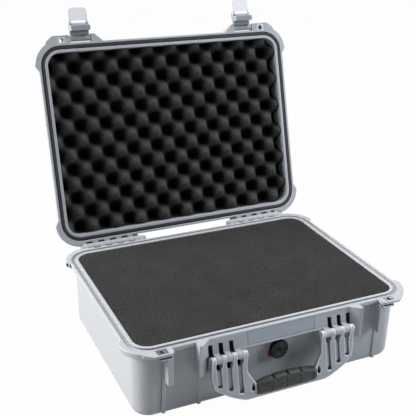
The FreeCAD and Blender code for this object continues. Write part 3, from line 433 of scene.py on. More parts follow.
# The same ABS given a near-white colour as painted light; its edges, painted paler as highlight, hardly
# stand out.
LIT_LATCH = MouldedPlastic(
    "abs_moulded_grey_painted_light", "latch_plastic", "#eeedeb", "#e5e4e2", 0.28, worn_highlight="#f6f5f4", grain_mm=1.2,
    relief=0.06,
)
# ABS with a satin face: smoother and a little bluer than the shell around it, its edges painted paler as
# wear and highlight.
NAME_PLATE = MouldedPlastic(
    "abs_satin_plate", "name_plate_plastic", "#a3a9ae", "#969ca2", 0.3, worn_highlight="#bfc3c7", flow_mm=220.0,
    relief=0.04,
)
# Black ABS: a dull dark face whose rims are painted paler as highlight.
VALVE = MouldedPlastic(
    "abs_moulded_black", "valve_plastic", "#0d0e0f", "#131416", 0.38, worn_highlight="#434446", grain_mm=1.2,
    relief=0.08, specular=0.14,
)
# Saw-cut ether foam: an even, flecked charcoal that never shines.
BASE_FOAM = OpenCellFoam("polyurethane_foam_charcoal", "base_foam", "#363534", "#292827", 0.98)
# The same foam cut to an egg-crate, painted paler than in the base to make up for the lid's dimmer light,
# over pits that painted shade turns black.
CRATE_FOAM = OpenCellFoam(
    "polyurethane_foam_egg_crate", "crate_foam", "#4a4847", "#3e3c3b", 0.98, cell_mm=2.2,
)
# EPDM from a mould: near black, with one soft line of light along its crown.
SEAL = MouldedRubber("epdm_moulded_black", "seal_rubber", "#1b1c1e", "#26272a", 0.5)
# Thermoplastic elastomer moulded on the handle: dark green-grey with pale, dull patches from hands.
GRIP = MouldedRubber("thermoplastic_elastomer_grey", "grip_rubber", "#191d1a", "#434843", 0.5, bloom_mm=9.0)
# Moulded silicone: a dense, slightly glossy red.
VALVE_RING = MouldedRubber("silicone_moulded_red", "valve_ring_rubber", "#b3261f", "#9c1f1a", 0.4)
# Stamped stainless steel: brush lines painted strongly bright and dark in its colour, as brushing and as
# painted reflection.
PLATE = BrushedMetal("stainless_steel_stamped", "plate_steel", "#d5d7d9", "#55575a", 0.18, line_mm=1.6)
# Drawn stainless steel: a duller grey with fine lines along the pin.
PIN = BrushedMetal("stainless_steel_drawn", "pin_steel", "#b4b5b7", "#9c9ea1", 0.3)


def add_piece(name: str, mesh: Mesh, finish: Finish, body: str, *nodes: str) -> Object:
    """Puts a finished mesh in the scene as a piece of the case.

    Args:
        name: the piece's name.
        mesh: its mesh, in place.
        finish: its material.
        body: the body that it moves with.
        nodes: the frame's nodes that it stands for.

    Returns:
        The piece's object.
    """
    piece = bpy.data.objects.new(name, mesh)
    bpy.context.scene.collection.objects.link(piece)
    mesh.materials.clear()
    mesh.materials.append(finish.material())
    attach(piece, body)
    if nodes:
        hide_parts(*nodes)
    LOG.info("%s rides on %s: %d faces", name, body, len(mesh.polygons))
    return piece


def evaluated_mesh(source: Object) -> Mesh:
    """Turns an object with live modifiers into a plain mesh and removes the object.

    Args:
        source: the object, linked to the scene.

    Returns:
        The mesh that its modifiers give.
    """
    bpy.context.view_layer.update()
    graph = bpy.context.evaluated_depsgraph_get()
    made = bpy.data.meshes.new_from_object(
        source.evaluated_get(graph), preserve_all_data_layers=True, depsgraph=graph
    )
    old = source.data
    bpy.data.objects.remove(source)
    bpy.data.meshes.remove(old)
    return made


def shaded(mesh: Mesh, sharp_angle: float = 40.0) -> Mesh:
    """Shades a mesh smooth, except over its sharp edges.

    Args:
        mesh: the mesh.
        sharp_angle: the angle between two faces, in degrees, above which their edge stays sharp.

    Returns:
        The same mesh.
    """
    mesh.shade_smooth()
    mesh.set_sharp_from_angle(angle=math.radians(sharp_angle))
    return mesh


def flat_shaded_walls(mesh: Mesh, widest: float) -> Mesh:
    """Sets a mesh's shading so that large faces look flat and only the roundings between them turn.

    Args:
        mesh: the mesh.
        widest: the angle between two faces, in degrees, up to which they share their shading.

    Returns:
        The same mesh.
    """
    alike = math.cos(math.radians(widest))
    around: list[list[MeshPolygon]] = [[] for _ in mesh.vertices]
    for face in mesh.polygons:
        for vertex in face.vertices:
            around[vertex].append(face)
    facings = []
    for face in mesh.polygons:
        own = face.normal
        for vertex in face.vertices:
            total = own * face.area
            for other in around[vertex]:
                if other.index != face.index and own.dot(other.normal) > alike:
                    total = total + other.normal * other.area
            facings.append(total.normalized())
    mesh.normals_split_custom_set(facings)
    return mesh


def merged_copy(node: str) -> BMesh:
    """Copies a node's mesh with its loose triangles merged and its flat faces joined.

    Args:
        node: the frame's node.

    Returns:
        The copy, open for editing.
    """
    work = bmesh.new()
    work.from_mesh(frame["nodes"][node].data)
    bmesh.ops.remove_doubles(work, verts=work.verts, dist=MERGE_M)
    bmesh.ops.dissolve_limit(work, angle_limit=math.radians(FLAT_DEG), verts=work.verts, edges=work.edges)
    return work


def closed_mesh(name: str, work: BMesh) -> Mesh:
    """Ends the editing of a mesh.

    Args:
        name: the new mesh's name.
        work: the edited mesh, which is freed.

    Returns:
        The new mesh.
    """
    mesh = bpy.data.meshes.new(name)
    work.to_mesh(mesh)
    work.free()
    return mesh


def strays(work: BMesh, rounded: Sequence[BMFace], skin: BVHTree, reach: float) -> list[Vector]:
    """Finds where rounding an edge has folded a face over or thrown a corner clear of the solid.

    Args:
        work: the rounded mesh.
        rounded: the faces that the rounding made.
        skin: the solid's own surface.
        reach: how far a sound point may lie from that surface, in metres.

    Returns:
        The places of the faults.
    """
    spots = []
    for vert in work.verts:
        distance = skin.find_nearest(vert.co)[3]
        if distance > reach:
            spots += [edge.other_vert(vert).co.copy() for edge in vert.link_edges] + [vert.co.copy()]
    for face in rounded:
        normal = skin.find_nearest(face.calc_center_median())[1]
        if normal.dot(face.normal) < TURNED_COS and face.calc_area() > SEEN_M2:
            spots += [vert.co.copy() for vert in face.verts]
    return spots


def rounded_copy(node: str, plain: BMesh, width: float) -> BMesh:
    """Copies a solid with its sharp edges rounded, except those too close together for it.

    Args:
        node: the frame's node, for the log.
        plain: its merged mesh.
        width: the width of the rounding, in metres.

    Returns:
        The copy with its rounded faces marked for wear and painted highlight, or a plain copy if every try
        had a fault.
    """
    skin = BVHTree.FromBMesh(plain)
    crowded: list[Vector] = []
    for attempt in range(ROUNDING_TRIES):
        work = plain.copy()
        wear_and_highlight = work.faces.layers.float.new(EDGE_WEAR_AND_HIGHLIGHT)
        tight = kdtree.KDTree(max(1, len(crowded)))
        for place, spot in enumerate(crowded):
            tight.insert(spot, place)
        tight.balance()
        sharp = []
        for edge in work.edges:
            if len(edge.link_faces) != 2 or edge.calc_face_angle(0.0) < math.radians(SHARP_DEG):
                continue
            ends = [vert.co for vert in edge.verts]
            if not any(tight.find_range(end, 2 * width * (1 + attempt)) for end in ends):
                sharp.append(edge)
        rounded = bmesh.ops.bevel(
            work, geom=sharp, offset=width, offset_type="OFFSET", segments=ROUNDING_STEPS, profile=0.5,
            affect="EDGES", clamp_overlap=False,
        )["faces"]
        for face in rounded:
            face[wear_and_highlight] = 1.0
        faults = strays(work, rounded, skin, STRAY_SHARE * width)
        if not faults:
            return work
        crowded += faults
        LOG.info("%s: %d places too tight to round in try %d", node, len(faults), attempt + 1)
        work.free()
    return plain.copy()


def softened(node: str, rounding_mm: float) -> Mesh:
    """Copies a rigid node's mesh with its edges rounded as a mould leaves them.

    Args:
        node: the frame's node.
        rounding_mm: the width of the rounding, or 0 for none.

    Returns:
        The new mesh, with its rounded faces marked for wear and painted highlight.
    """
    work = merged_copy(node)
    sharp_angle, widest = 30.0, 30.0
    if rounding_mm:
        plain = work
        work = rounded_copy(node, plain, rounding_mm * MM)
        plain.free()
        sharp_angle, widest = 55.0, 50.0
    return flat_shaded_walls(shaded(closed_mesh(node + "_mesh", work), sharp_angle), widest)


def paint_recess_shade(
    mesh: Mesh, least: float = 0.2, most: float = 0.54, reach_mm: float = 20.0, feelers: int = 20
) -> Mesh:
    """Marks the faces that lie in slots and grooves for painted shade, by how much of the mesh stands close
    around them.

    Args:
        mesh: the mesh to mark.
        least: the share of near walls at which a recess starts.
        most: the share at which it is deepest.
        reach_mm: how far away a wall still counts.
        feelers: how many directions are tried from each face.

    Returns:
        The same mesh, with 1 on its deepest faces and 0 on open ones.
    """
    reach = reach_mm * MM
    # Each feeler starts just clear of its own face.
    clear = 0.05 * MM
    mesh.calc_loop_triangles()
    corners = [vert.co for vert in mesh.vertices]
    skin = BVHTree.FromPolygons(corners, [tuple(part.vertices) for part in mesh.loop_triangles])
    middles: dict[int, tuple[float, Vector]] = {}
    for part in mesh.loop_triangles:
        if part.area > middles.get(part.polygon_index, (-1.0,))[0]:
            a, b, c = (corners[index] for index in part.vertices)
            middles[part.polygon_index] = (part.area, (a + b + c) / 3)
    spread = []
    for index in range(feelers):
        # Even steps over a half sphere, with fewer directions near the surface.
        height = math.sqrt((index + 0.5) / feelers)
        angle = index * math.pi * (3 - math.sqrt(5))
        flat = math.sqrt(1 - height * height)
        spread.append(Vector((flat * math.cos(angle), flat * math.sin(angle), height)))
    depths = [0.0] * len(mesh.polygons)
    for index, (_, middle) in middles.items():
        normal = mesh.polygons[index].normal
        turn = normal.to_track_quat("Z", "Y")
        start = middle + normal * clear
        felt = 0.0
        for direction in spread:
            distance = skin.ray_cast(start, turn @ direction, reach)[3]
            if distance is not None:
                felt += 1 - distance / reach
        share = min(1.0, max(0.0, (felt / feelers - least) / (most - least)))
        depths[index] = share * share * (3 - 2 * share)
    mark = mesh.attributes.new(RECESS_SHADE, "FLOAT", "FACE")
    mark.data.foreach_set("value", depths)
    return mesh


def worn_edge_highlights(mesh: Mesh, least: float = 0.012, most: float = 0.08) -> Mesh:
    """Marks the rounded outer edges of a mesh for wear and painted highlight, by how far each point stands
    above its neighbours.

    Args:
        mesh: the mesh to mark.
        least: the steepness at which wear and highlight start.
        most: the steepness at which it is full.

    Returns:
        The same mesh, with its points marked for wear and highlight.
    """
    rises = [0.0] * len(mesh.vertices)
    counts = [0] * len(mesh.vertices)
    for edge in mesh.edges:
        ends = [mesh.vertices[index] for index in edge.vertices]
        for here, there in (ends, reversed(ends)):
            step = here.co - there.co
            if step.length > 0:
                rises[here.index] += step.dot(here.normal) / step.length
                counts[here.index] += 1
    shares = [(rise / max(1, count) - least) / (most - least) for rise, count in zip(rises, counts)]
    mark = mesh.attributes.new(EDGE_WEAR_AND_HIGHLIGHT, "FLOAT", "POINT")
    mark.data.foreach_set("value", [min(1.0, max(0.0, share)) for share in shares])
    return mesh


def melted(node: str, cell_mm: float, passes: int) -> Mesh:
    """Copies a rigid node's mesh with all its edges well rounded, as on a thick moulding held in the hand.

    Args:
        node: the frame's node.
        cell_mm: the size of the cells that the shape is drawn in.
        passes: how often the cells are smoothed.

    Returns:
        The new mesh, with its edges marked for wear and painted highlight.
    """
    source = bpy.data.objects.new(node + "_source", closed_mesh(node + "_mesh", merged_copy(node)))
    bpy.context.scene.collection.objects.link(source)
    cells = source.modifiers.new("cells", "REMESH")
    cells.mode = "VOXEL"
    cells.voxel_size = cell_mm * MM
    smooth = source.modifiers.new("smooth", "SMOOTH")
    smooth.factor = 0.5
    smooth.iterations = passes
    fewer = source.modifiers.new("fewer", "DECIMATE")
    fewer.ratio = 0.5
    return worn_edge_highlights(shaded(evaluated_mesh(source), sharp_angle=80.0))


def rounded_ring(
    half_width: float, half_depth: float, radius: float, out: float, height: float, corner_steps: int = 10,
    straight_step: float = 12.0,
) -> list[Vector]:
    """Gives a closed ring of points around a rectangle with rounded corners.

    Args:
        half_width: half the rectangle's size along X, in millimetres.
        half_depth: half its size along Y.
        radius: its corners' radius.
        out: how far outside the rectangle the ring runs; less than zero is inside.
        height: the ring's place along Z.
        corner_steps: the steps in each corner.
        straight_step: the longest step on the straight sides.

    Returns:
        The ring's points in metres, anticlockwise from above.
    """
    # A ring far inside keeps a trace of its bends and sides, so that its points stay apart.
    least_bend, least_run = 0.5, 0.01
    bend = max(radius + out, least_bend)
    run_x = max(half_width + out - bend, least_run)
    run_y = max(half_depth + out - bend, least_run)
    counts = [
        max(2, round(2 * (half - radius) / straight_step)) for half in (half_depth, half_width)
    ] * 2
    corners = [(run_x, run_y), (-run_x, run_y), (-run_x, -run_y), (run_x, -run_y)]
    arcs = []
    for quarter, (x, y) in enumerate(corners):
        angles = [math.pi / 2 * (quarter + step / corner_steps) for step in range(corner_steps + 1)]
        arcs.append([
            Vector((x + bend * math.cos(angle), y + bend * math.sin(angle), height)) for angle in angles
        ])
    points = []
    for quarter, arc in enumerate(arcs):
        following = arcs[(quarter + 1) % 4][0]
        count = counts[(quarter + 1) % 4]
        points += arc
        points += [arc[-1].lerp(following, step / count) for step in range(1, count)]
    return [point * MM for point in points]


def loft(name: str, rings: Sequence[Sequence[Vector]], capped: bool) -> Mesh:
    """Skins rings of equal length into a closed mesh.

    Args:
        name: the mesh's name.
        rings: the rings, in order.
        capped: whether the first and last rings are closed with a face, or joined to each other.

    Returns:
        The mesh, with its faces pointing outwards.
    """
    work = bmesh.new()
    made = [[work.verts.new(point) for point in ring] for ring in rings]
    pairs = list(zip(made, made[1:]))
    if capped:
        work.faces.new(made[0])
        work.faces.new(made[-1])
    else:
        pairs.append((made[-1], made[0]))
    for low, high in pairs:
        for place in range(len(low)):
            after = (place + 1) % len(low)
            work.faces.new((low[place], low[after], high[after], high[place]))
    bmesh.ops.recalc_face_normals(work, faces=work.faces)
    return closed_mesh(name, work)


def lid_open() -> Matrix:
    """Gives the turn that carries the lid from shut to its place at rest.

    Returns:
        The matrix, in metres.
    """
    joint = next(joint for joint in frame["joints"] if joint["name"] == "lid_hinge")
    pivot = Vector(joint["pos_m"])
    turn = Matrix.Rotation(-math.radians(joint["range_deg"][1]), 4, Vector(joint["axis"]))
    return Matrix.Translation(pivot) @ turn @ Matrix.Translation(-pivot)


def new_tree(name: str, kinds: Mapping[str, str]) -> tuple[NodeTree, dict[str, str]]:
    """Starts a geometry tree with named inputs and one geometry output.

    Args:
        name: the tree's name.
        kinds: each input's name and the type of its socket.

    Returns:
        The tree, and its inputs' identifiers by name.
    """
    tree = bpy.data.node_groups.new(name, "GeometryNodeTree")
    tree.interface.new_socket("Geometry", in_out="OUTPUT", socket_type="NodeSocketGeometry")
    keys = {
        label: tree.interface.new_socket(label, in_out="INPUT", socket_type=kind).identifier
        for label, kind in kinds.items()
    }
    return tree, keys


def end_tree(tree: NodeTree, made: NodeSocket, material: NodeSocket) -> None:
    """Ends a geometry tree with real, dressed geometry.

    Args:
        tree: the tree.
        made: the geometry, which may hold instances.
        material: the input that gives the material.
    """
    real = add_node(tree, "GeometryNodeRealizeInstances", {0: made}).outputs[0]
    dressed = add_node(tree, "GeometryNodeSetMaterial", {"Geometry": real, "Material": material}).outputs[0]
    add_node(tree, "NodeGroupOutput", {0: dressed})


def grown(seed: Mesh, tree: NodeTree, keys: Mapping[str, str], values: Mapping[str, object]) -> Mesh:
    """Runs a geometry tree on a mesh.

    Args:
        seed: the mesh that the tree starts from, which is removed.
        tree: the tree.
        keys: its inputs' identifiers by name.
        values: the inputs' values by name.

    Returns:
        The result as a plain mesh.
    """
    source = bpy.data.objects.new(seed.name, seed)
    bpy.context.scene.collection.objects.link(source)
    modifier = source.modifiers.new(tree.name, "NODES")
    modifier.node_group = tree
    for name, value in values.items():
        modifier[keys[name]] = value
    return evaluated_mesh(source)


@dataclass
class NodePiece:
    """A rigid piece that keeps the solid's shape and gets rounded edges and a finish."""

    node: str
    body: str
    finish: Finish
    rounding_mm: float = 0.0

    def build(self) -> None:
        """Makes the piece."""
        mesh = softened(self.node, self.rounding_mm)
        # Moulded plastics are darkened in their recesses with painted shade.
        if isinstance(self.finish, MouldedPlastic):
            mesh = paint_recess_shade(mesh)
        add_piece(self.node + "_moulded", mesh, self.finish, self.body, self.node)


@dataclass
class FoamSlab:
    """A foam layer in the base, cut to the opening's outline. Sizes are in millimetres."""

    node: str
    corner: float = 24.0
    edge: float = 2.5
    edge_bulge: float = 0.3
    top_insets: tuple[float, ...] = (8, 16, 28, 42, 58, 76, 96, 118, 140)
    swell: float = 0.7
    swell_drop: float = 0.35
    swells_per_m: float = 11.0
    still_rings: int = 4
    easing_rings: int = 3

    def build(self) -> None:
        """Lofts the slab with soft edges and a slightly uneven top."""
        low, high = (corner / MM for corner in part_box(self.node))
        edge, bulge = self.edge, self.edge * self.edge_bulge
        profile = [(-edge, low.z), (-bulge, low.z + bulge), (0.0, low.z + edge)]
        profile += [(0.0, high.z - edge), (-bulge, high.z - bulge), (-edge, high.z)]
        profile += [(-inset, high.z) for inset in self.top_insets]
        rings = [rounded_ring(high.x, high.y, self.corner, out, height) for out, height in profile]
        for index, ring in enumerate(rings):
            share = min(1.0, max(0.0, index - self.still_rings) / self.easing_rings)
            for point in ring:
                spot = Vector((point.x, point.y, low.z * MM)) * self.swells_per_m
                wave = noise.noise(spot) - self.swell_drop
                point.z += wave * self.swell * share * MM
        mesh = shaded(loft(self.node + "_cut", rings, capped=True))
        piece = add_piece(self.node + "_cut", mesh, BASE_FOAM, Body.BASE.value, self.node)


@dataclass
class CrateFoam:
    """The lid's convoluted foam, whose crests and pits follow a wave along X and Y.

    Sizes are in millimetres, with the lid shut.
    """

    half_width: float = 228.8
    half_depth: float = 164.3
    corner: float = 24.0
    back: float = 170.8
    face: float = 129.4
    pit_depth: float = 27.0
    pitch_x: float = 48.0
    pitch_y: float = 52.6
    start_x: float = 11.4
    start_y: float = 20.3
    sharpness: float = 1.15
    step: float = 2.8
    merge_m: float = 1e-6

    @staticmethod
    def plate(tree: NodeTree, given: Mapping[str, NodeSocket], position: NodeSocket) -> NodeSocket:
        """Adds a flat grid whose corners are squeezed from squares to quarter rounds.

        Args:
            tree: the foam's tree.
            given: its inputs by name.
            position: the places of the points.

        Returns:
            The grid, at the height of the foam's back.
        """
        spans = [
            add_node(tree, MATH, {0: given[name], 1: 2.0}, operation="MULTIPLY").outputs[0]
            for name in ("Half Width", "Half Depth")
        ]
        grid = add_node(tree, "GeometryNodeMeshGrid", {
            "Size X": spans[0], "Size Y": spans[1],
            "Vertices X": given["Count X"], "Vertices Y": given["Count Y"],
        }).outputs["Mesh"]
        flat = add_node(tree, "ShaderNodeSeparateXYZ", {0: position}).outputs
        corner = given["Corner"]
        kept, shares = [], []
        for axis, half in ((0, "Half Width"), (1, "Half Depth")):
            size = add_node(tree, MATH, {0: flat[axis]}, operation="ABSOLUTE").outputs[0]
            straight = add_node(tree, MATH, {0: given[half], 1: corner}, operation="SUBTRACT").outputs[0]
            kept.append(add_node(tree, MATH, {0: size, 1: straight}, operation="MINIMUM").outputs[0])
            past = add_node(tree, MATH, {0: size, 1: straight}, operation="SUBTRACT").outputs[0]
            share = add_node(tree, MATH, {0: past, 1: corner}, operation="DIVIDE").outputs[0]
            shares.append(add_node(tree, MATH, {0: share, 1: 0.0}, operation="MAXIMUM").outputs[0])
        squeezed = []
        for axis in (0, 1):
            # A square becomes a disc where each side shrinks by the root of 1 less half the other's square.
            other = shares[1 - axis]
            square = add_node(tree, MATH, {0: other, 1: other}, operation="MULTIPLY").outputs[0]
            left = add_node(tree, MATH, {0: square, 1: -0.5, 2: 1.0}, operation="MULTIPLY_ADD").outputs[0]
            root = add_node(tree, MATH, {0: left}, operation="SQRT").outputs[0]
            reach = add_node(tree, MATH, {0: shares[axis], 1: root}, operation="MULTIPLY").outputs[0]
            size = add_node(tree, MATH, {
                0: reach, 1: corner, 2: kept[axis],
            }, operation="MULTIPLY_ADD").outputs[0]
            sign = add_node(tree, MATH, {0: flat[axis]}, operation="SIGN").outputs[0]
            squeezed.append(add_node(tree, MATH, {0: size, 1: sign}, operation="MULTIPLY").outputs[0])
        spot = add_node(tree, "ShaderNodeCombineXYZ", {
            0: squeezed[0], 1: squeezed[1], 2: given["Back"],
        }).outputs[0]
        return add_node(tree, "GeometryNodeSetPosition", {"Geometry": grid, "Position": spot}).outputs[0]

    @staticmethod
    def pits(tree: NodeTree, given: Mapping[str, NodeSocket], position: NodeSocket) -> NodeSocket:
        """Adds the wave that sinks the pits.

        Args:
            tree: the foam's tree.
            given: its inputs by name.
            position: the places of the points.

        Returns:
            Each point's share of the pits' depth, which is 0 on the crests.
        """
        spread = add_node(tree, "ShaderNodeSeparateXYZ", {0: position}).outputs
        waves = []
        for axis, start, pitch in ((0, "Start X", "Pitch X"), (1, "Start Y", "Pitch Y")):
            moved = add_node(tree, MATH, {
                0: spread[axis], 1: given[start],
            }, operation="SUBTRACT").outputs[0]
            turns = add_node(tree, MATH, {0: moved, 1: given[pitch]}, operation="DIVIDE").outputs[0]
            angle = add_node(tree, MATH, {0: turns, 1: 2 * math.pi}, operation="MULTIPLY").outputs[0]
            waves.append(add_node(tree, MATH, {0: angle}, operation="COSINE").outputs[0])
        wave = add_node(tree, MATH, {0: waves[0], 1: waves[1]}, operation="MULTIPLY").outputs[0]
        level = add_node(tree, MATH, {0: wave, 1: 0.5, 2: 0.5}, operation="MULTIPLY_ADD").outputs[0]
        return add_node(tree, MATH, {0: level, 1: given["Sharpness"]}, operation="POWER").outputs[0]

    def tree(self) -> tuple[NodeTree, dict[str, str]]:
        """Builds the tree that makes the foam block.

        Returns:
            The tree, and its inputs' identifiers by name.
        """
        names = (
            "Half Width", "Half Depth", "Corner", "Back", "Thickness", "Pit Depth", "Pitch X", "Pitch Y",
            "Start X", "Start Y", "Sharpness",
        )
        kinds = dict.fromkeys(names, "NodeSocketFloat")
        kinds |= {"Count X": "NodeSocketInt", "Count Y": "NodeSocketInt", "Material": "NodeSocketMaterial"}
        tree, keys = new_tree("egg_crate_foam", kinds)
        given = add_node(tree, "NodeGroupInput").outputs
        position = add_node(tree, "GeometryNodeInputPosition").outputs[0]
        plate = self.plate(tree, given, position)

        # The block stands on that plate, and its far face carries the wave.
        turned = add_node(tree, "GeometryNodeFlipFaces", {"Mesh": plate}).outputs[0]
        drop = add_node(tree, MATH, {0: given["Thickness"], 1: -1.0}, operation="MULTIPLY").outputs[0]
        offset = add_node(tree, "ShaderNodeCombineXYZ", {2: drop}).outputs[0]
        block = add_node(tree, "GeometryNodeExtrudeMesh", {
            "Mesh": turned, "Offset": offset, "Offset Scale": 1.0, "Individual": False,
        }, mode="FACES").outputs
        share = self.pits(tree, given, position)
        depth = add_node(tree, MATH, {0: share, 1: given["Pit Depth"]}, operation="MULTIPLY").outputs[0]
        rise = add_node(tree, "ShaderNodeCombineXYZ", {2: depth}).outputs[0]
        waved = add_node(tree, "GeometryNodeSetPosition", {
            "Geometry": block["Mesh"], "Selection": block["Top"], "Offset": rise,
        }).outputs[0]
        marked = add_node(tree, "GeometryNodeStoreNamedAttribute", {
            "Geometry": waved, "Selection": block["Top"], "Name": PIT_DEPTH, "Value": share,
        }, data_type="FLOAT", domain="POINT").outputs[0]
        joined = add_node(tree, "GeometryNodeJoinGeometry")
        for part in (marked, plate):
            tree.links.new(part, joined.inputs[0])
        merged = add_node(tree, "GeometryNodeMergeByDistance", {
            "Geometry": joined.outputs[0], "Distance": self.merge_m,
        }).outputs[0]
        end_tree(tree, merged, given["Material"])
        return tree, keys

    def build(self) -> None:
        """Makes the foam, turned with the open lid."""
        sizes = {
            "Half Width": self.half_width, "Half Depth": self.half_depth, "Corner": self.corner,
            "Back": self.back, "Thickness": self.back - self.face, "Pit Depth": self.pit_depth,
            "Pitch X": self.pitch_x, "Pitch Y": self.pitch_y,
            "Start X": self.start_x, "Start Y": self.start_y,
        }
        values: dict[str, object] = {name: size * MM for name, size in sizes.items()}
        values |= {
            "Sharpness": self.sharpness, "Count X": round(2 * self.half_width / self.step),
            "Count Y": round(2 * self.half_depth / self.step), "Material": CRATE_FOAM.material(),
        }
        tree, keys = self.tree()
        mesh = grown(bpy.data.meshes.new("crate_source"), tree, keys, values)
        mesh.transform(lid_open())
        mesh = shaded(mesh, sharp_angle=60.0)
        piece = add_piece("lid_foam_crate", mesh, CRATE_FOAM, Body.LID.value, "lid_foam")


@dataclass
class LidSeal:
    """The rubber cord in the lid's channel, with a crowned face.

    Sizes are in millimetres, with the lid shut.
    """

    half_width: float = 229.5
    half_depth: float = 165.0
    corner: float = 24.0
    inner: float = 5.5
    outer: float = 12.0
    face: float = 127.3
    back: float = 132.8
    crown: float = 2.2
    crown_steps: int = 12

    def build(self) -> None:
        """Lofts the seal around the lid's opening."""
        middle = (self.inner + self.outer) / 2
        half = (self.outer - self.inner) / 2
        profile = [(self.outer, self.back), (self.inner, self.back)]
        for step in range(self.crown_steps + 1):
            angle = math.pi * step / self.crown_steps
            height = self.face + self.crown - self.crown * math.sin(angle)
            profile.append((middle - half * math.cos(angle), height))
        rings = [
            rounded_ring(self.half_width, self.half_depth, self.corner, out, height)
            for out, height in profile
        ]
        mesh = loft("lid_seal_cord", rings, capped=False)
        mesh.transform(lid_open())
        add_piece("lid_seal_cord", shaded(mesh), SEAL, Body.LID.value, "lid_seal")


@dataclass
class RibRing:
    """A ring of moulded ribs, each a stretched ball, placed by a node tree."""

    name: str
    rib_mm: tuple[float, float, float]
    ball_segments: int = 10
    ball_rings: int = 6

    def mesh(self, spots: Sequence[Vector], turns: Sequence[float], finish: Finish) -> Mesh:
        """Places one rib on each spot.

        Args:
            spots: the ribs' middles, in metres.
            turns: each rib's turn about Y, in radians.
            finish: the ribs' material.

        Returns:
            The ribs as one plain mesh.
        """
        tree, keys = new_tree(self.name, {
            "Geometry": "NodeSocketGeometry", "Rib Size": "NodeSocketVector",
            "Material": "NodeSocketMaterial",
        })
        given = add_node(tree, "NodeGroupInput").outputs
        # The ball is one unit across, so that the rib's size is its scale.
        ball = add_node(tree, "GeometryNodeMeshUVSphere", {
            "Segments": self.ball_segments, "Rings": self.ball_rings, "Radius": 0.5,
        }).outputs[0]
        rib = add_node(tree, "GeometryNodeTransform", {
            "Geometry": ball, "Scale": given["Rib Size"],
        }).outputs[0]
        turn = add_node(
            tree, "GeometryNodeInputNamedAttribute", {"Name": "turn"}, data_type="FLOAT_VECTOR"
        ).outputs[0]
        points = add_node(tree, "GeometryNodeMeshToPoints", {"Mesh": given["Geometry"]}).outputs[0]
        placed = add_node(tree, "GeometryNodeInstanceOnPoints", {
            "Points": points, "Instance": rib, "Rotation": turn,
        }).outputs[0]
        end_tree(tree, placed, given["Material"])

        seeds = bpy.data.meshes.new(self.name + "_spots")
        seeds.from_pydata([tuple(spot) for spot in spots], [], [])
        layer = seeds.attributes.new("turn", "FLOAT_VECTOR", "POINT")
        for place, angle in enumerate(turns):
            layer.data[place].vector = (0.0, angle, 0.0)
        values = {"Rib Size": [size * MM for size in self.rib_mm], "Material": finish.material()}
        return shaded(grown(seeds, tree, keys, values), sharp_angle=60.0)


@dataclass
class CaseBase:
    """The tub with its foam layers, bare name plate, padlock plates and pins."""

    rounding_mm: float = 1.0
    plate_rounding_mm: float = 0.3

    def build(self) -> None:
        """Builds the shell, then what sits in and on it."""
        body = Body.BASE.value
        NodePiece("base_shell", body, SHELL, self.rounding_mm).build()
        NodePiece("name_plate", body, NAME_PLATE, self.plate_rounding_mm).build()
        for node in ("foam_floor_pad", "foam_lower_layer", "foam_upper_layer"):
            FoamSlab(node).build()
        for side in Side:
            NodePiece(f"padlock_plate_base_{side.value}", body, PLATE, self.plate_rounding_mm).build()
            NodePiece(f"hinge_pin_{side.value}", body, PIN).build()
            NodePiece(f"handle_pin_{side.value}", body, PIN).build()


@dataclass
class CaseLid:
    """The lid shell with its egg-crate foam, seal, padlock plates and latch pins."""

    rounding_mm: float = 0.7
    plate_rounding_mm: float = 0.3

    def build(self) -> None:
        """Builds the shell, then what sits in and on it."""
        body = Body.LID.value
        NodePiece("lid_shell", body, SHELL, self.rounding_mm).build()
        CrateFoam().build()
        LidSeal().build()
        for side in Side:
            NodePiece(f"padlock_plate_lid_{side.value}", body, PLATE, self.plate_rounding_mm).build()
            NodePiece(f"latch_pin_{side.value}", body, PIN).build()


@dataclass
class ThrowLatch:
    """One latch: an arm that hangs on the lid's pin, and the lever that throws it."""

    side: Side
    cell_mm: float = 0.5
    smoothing_passes: int = 5

    def build(self) -> None:
        """Builds the arm, the lever and the pin between them."""
        side = self.side.value
        # The arm takes a darker copy of the latch plastic as painted shade and the lever a near-white copy
        # as painted light.
        parts = (
            (f"latch_arm_{side}", SHADED_LATCH, f"latch_{side}"),
            (f"latch_lever_{side}", LIT_LATCH, f"lever_{side}"),
        )
        for node, finish, body in parts:
            mesh = paint_recess_shade(melted(node, self.cell_mm, self.smoothing_passes))
            add_piece(node + "_moulded", mesh, finish, body, node)
        NodePiece(f"latch_lever_pin_{side}", f"latch_{side}", PIN).build()


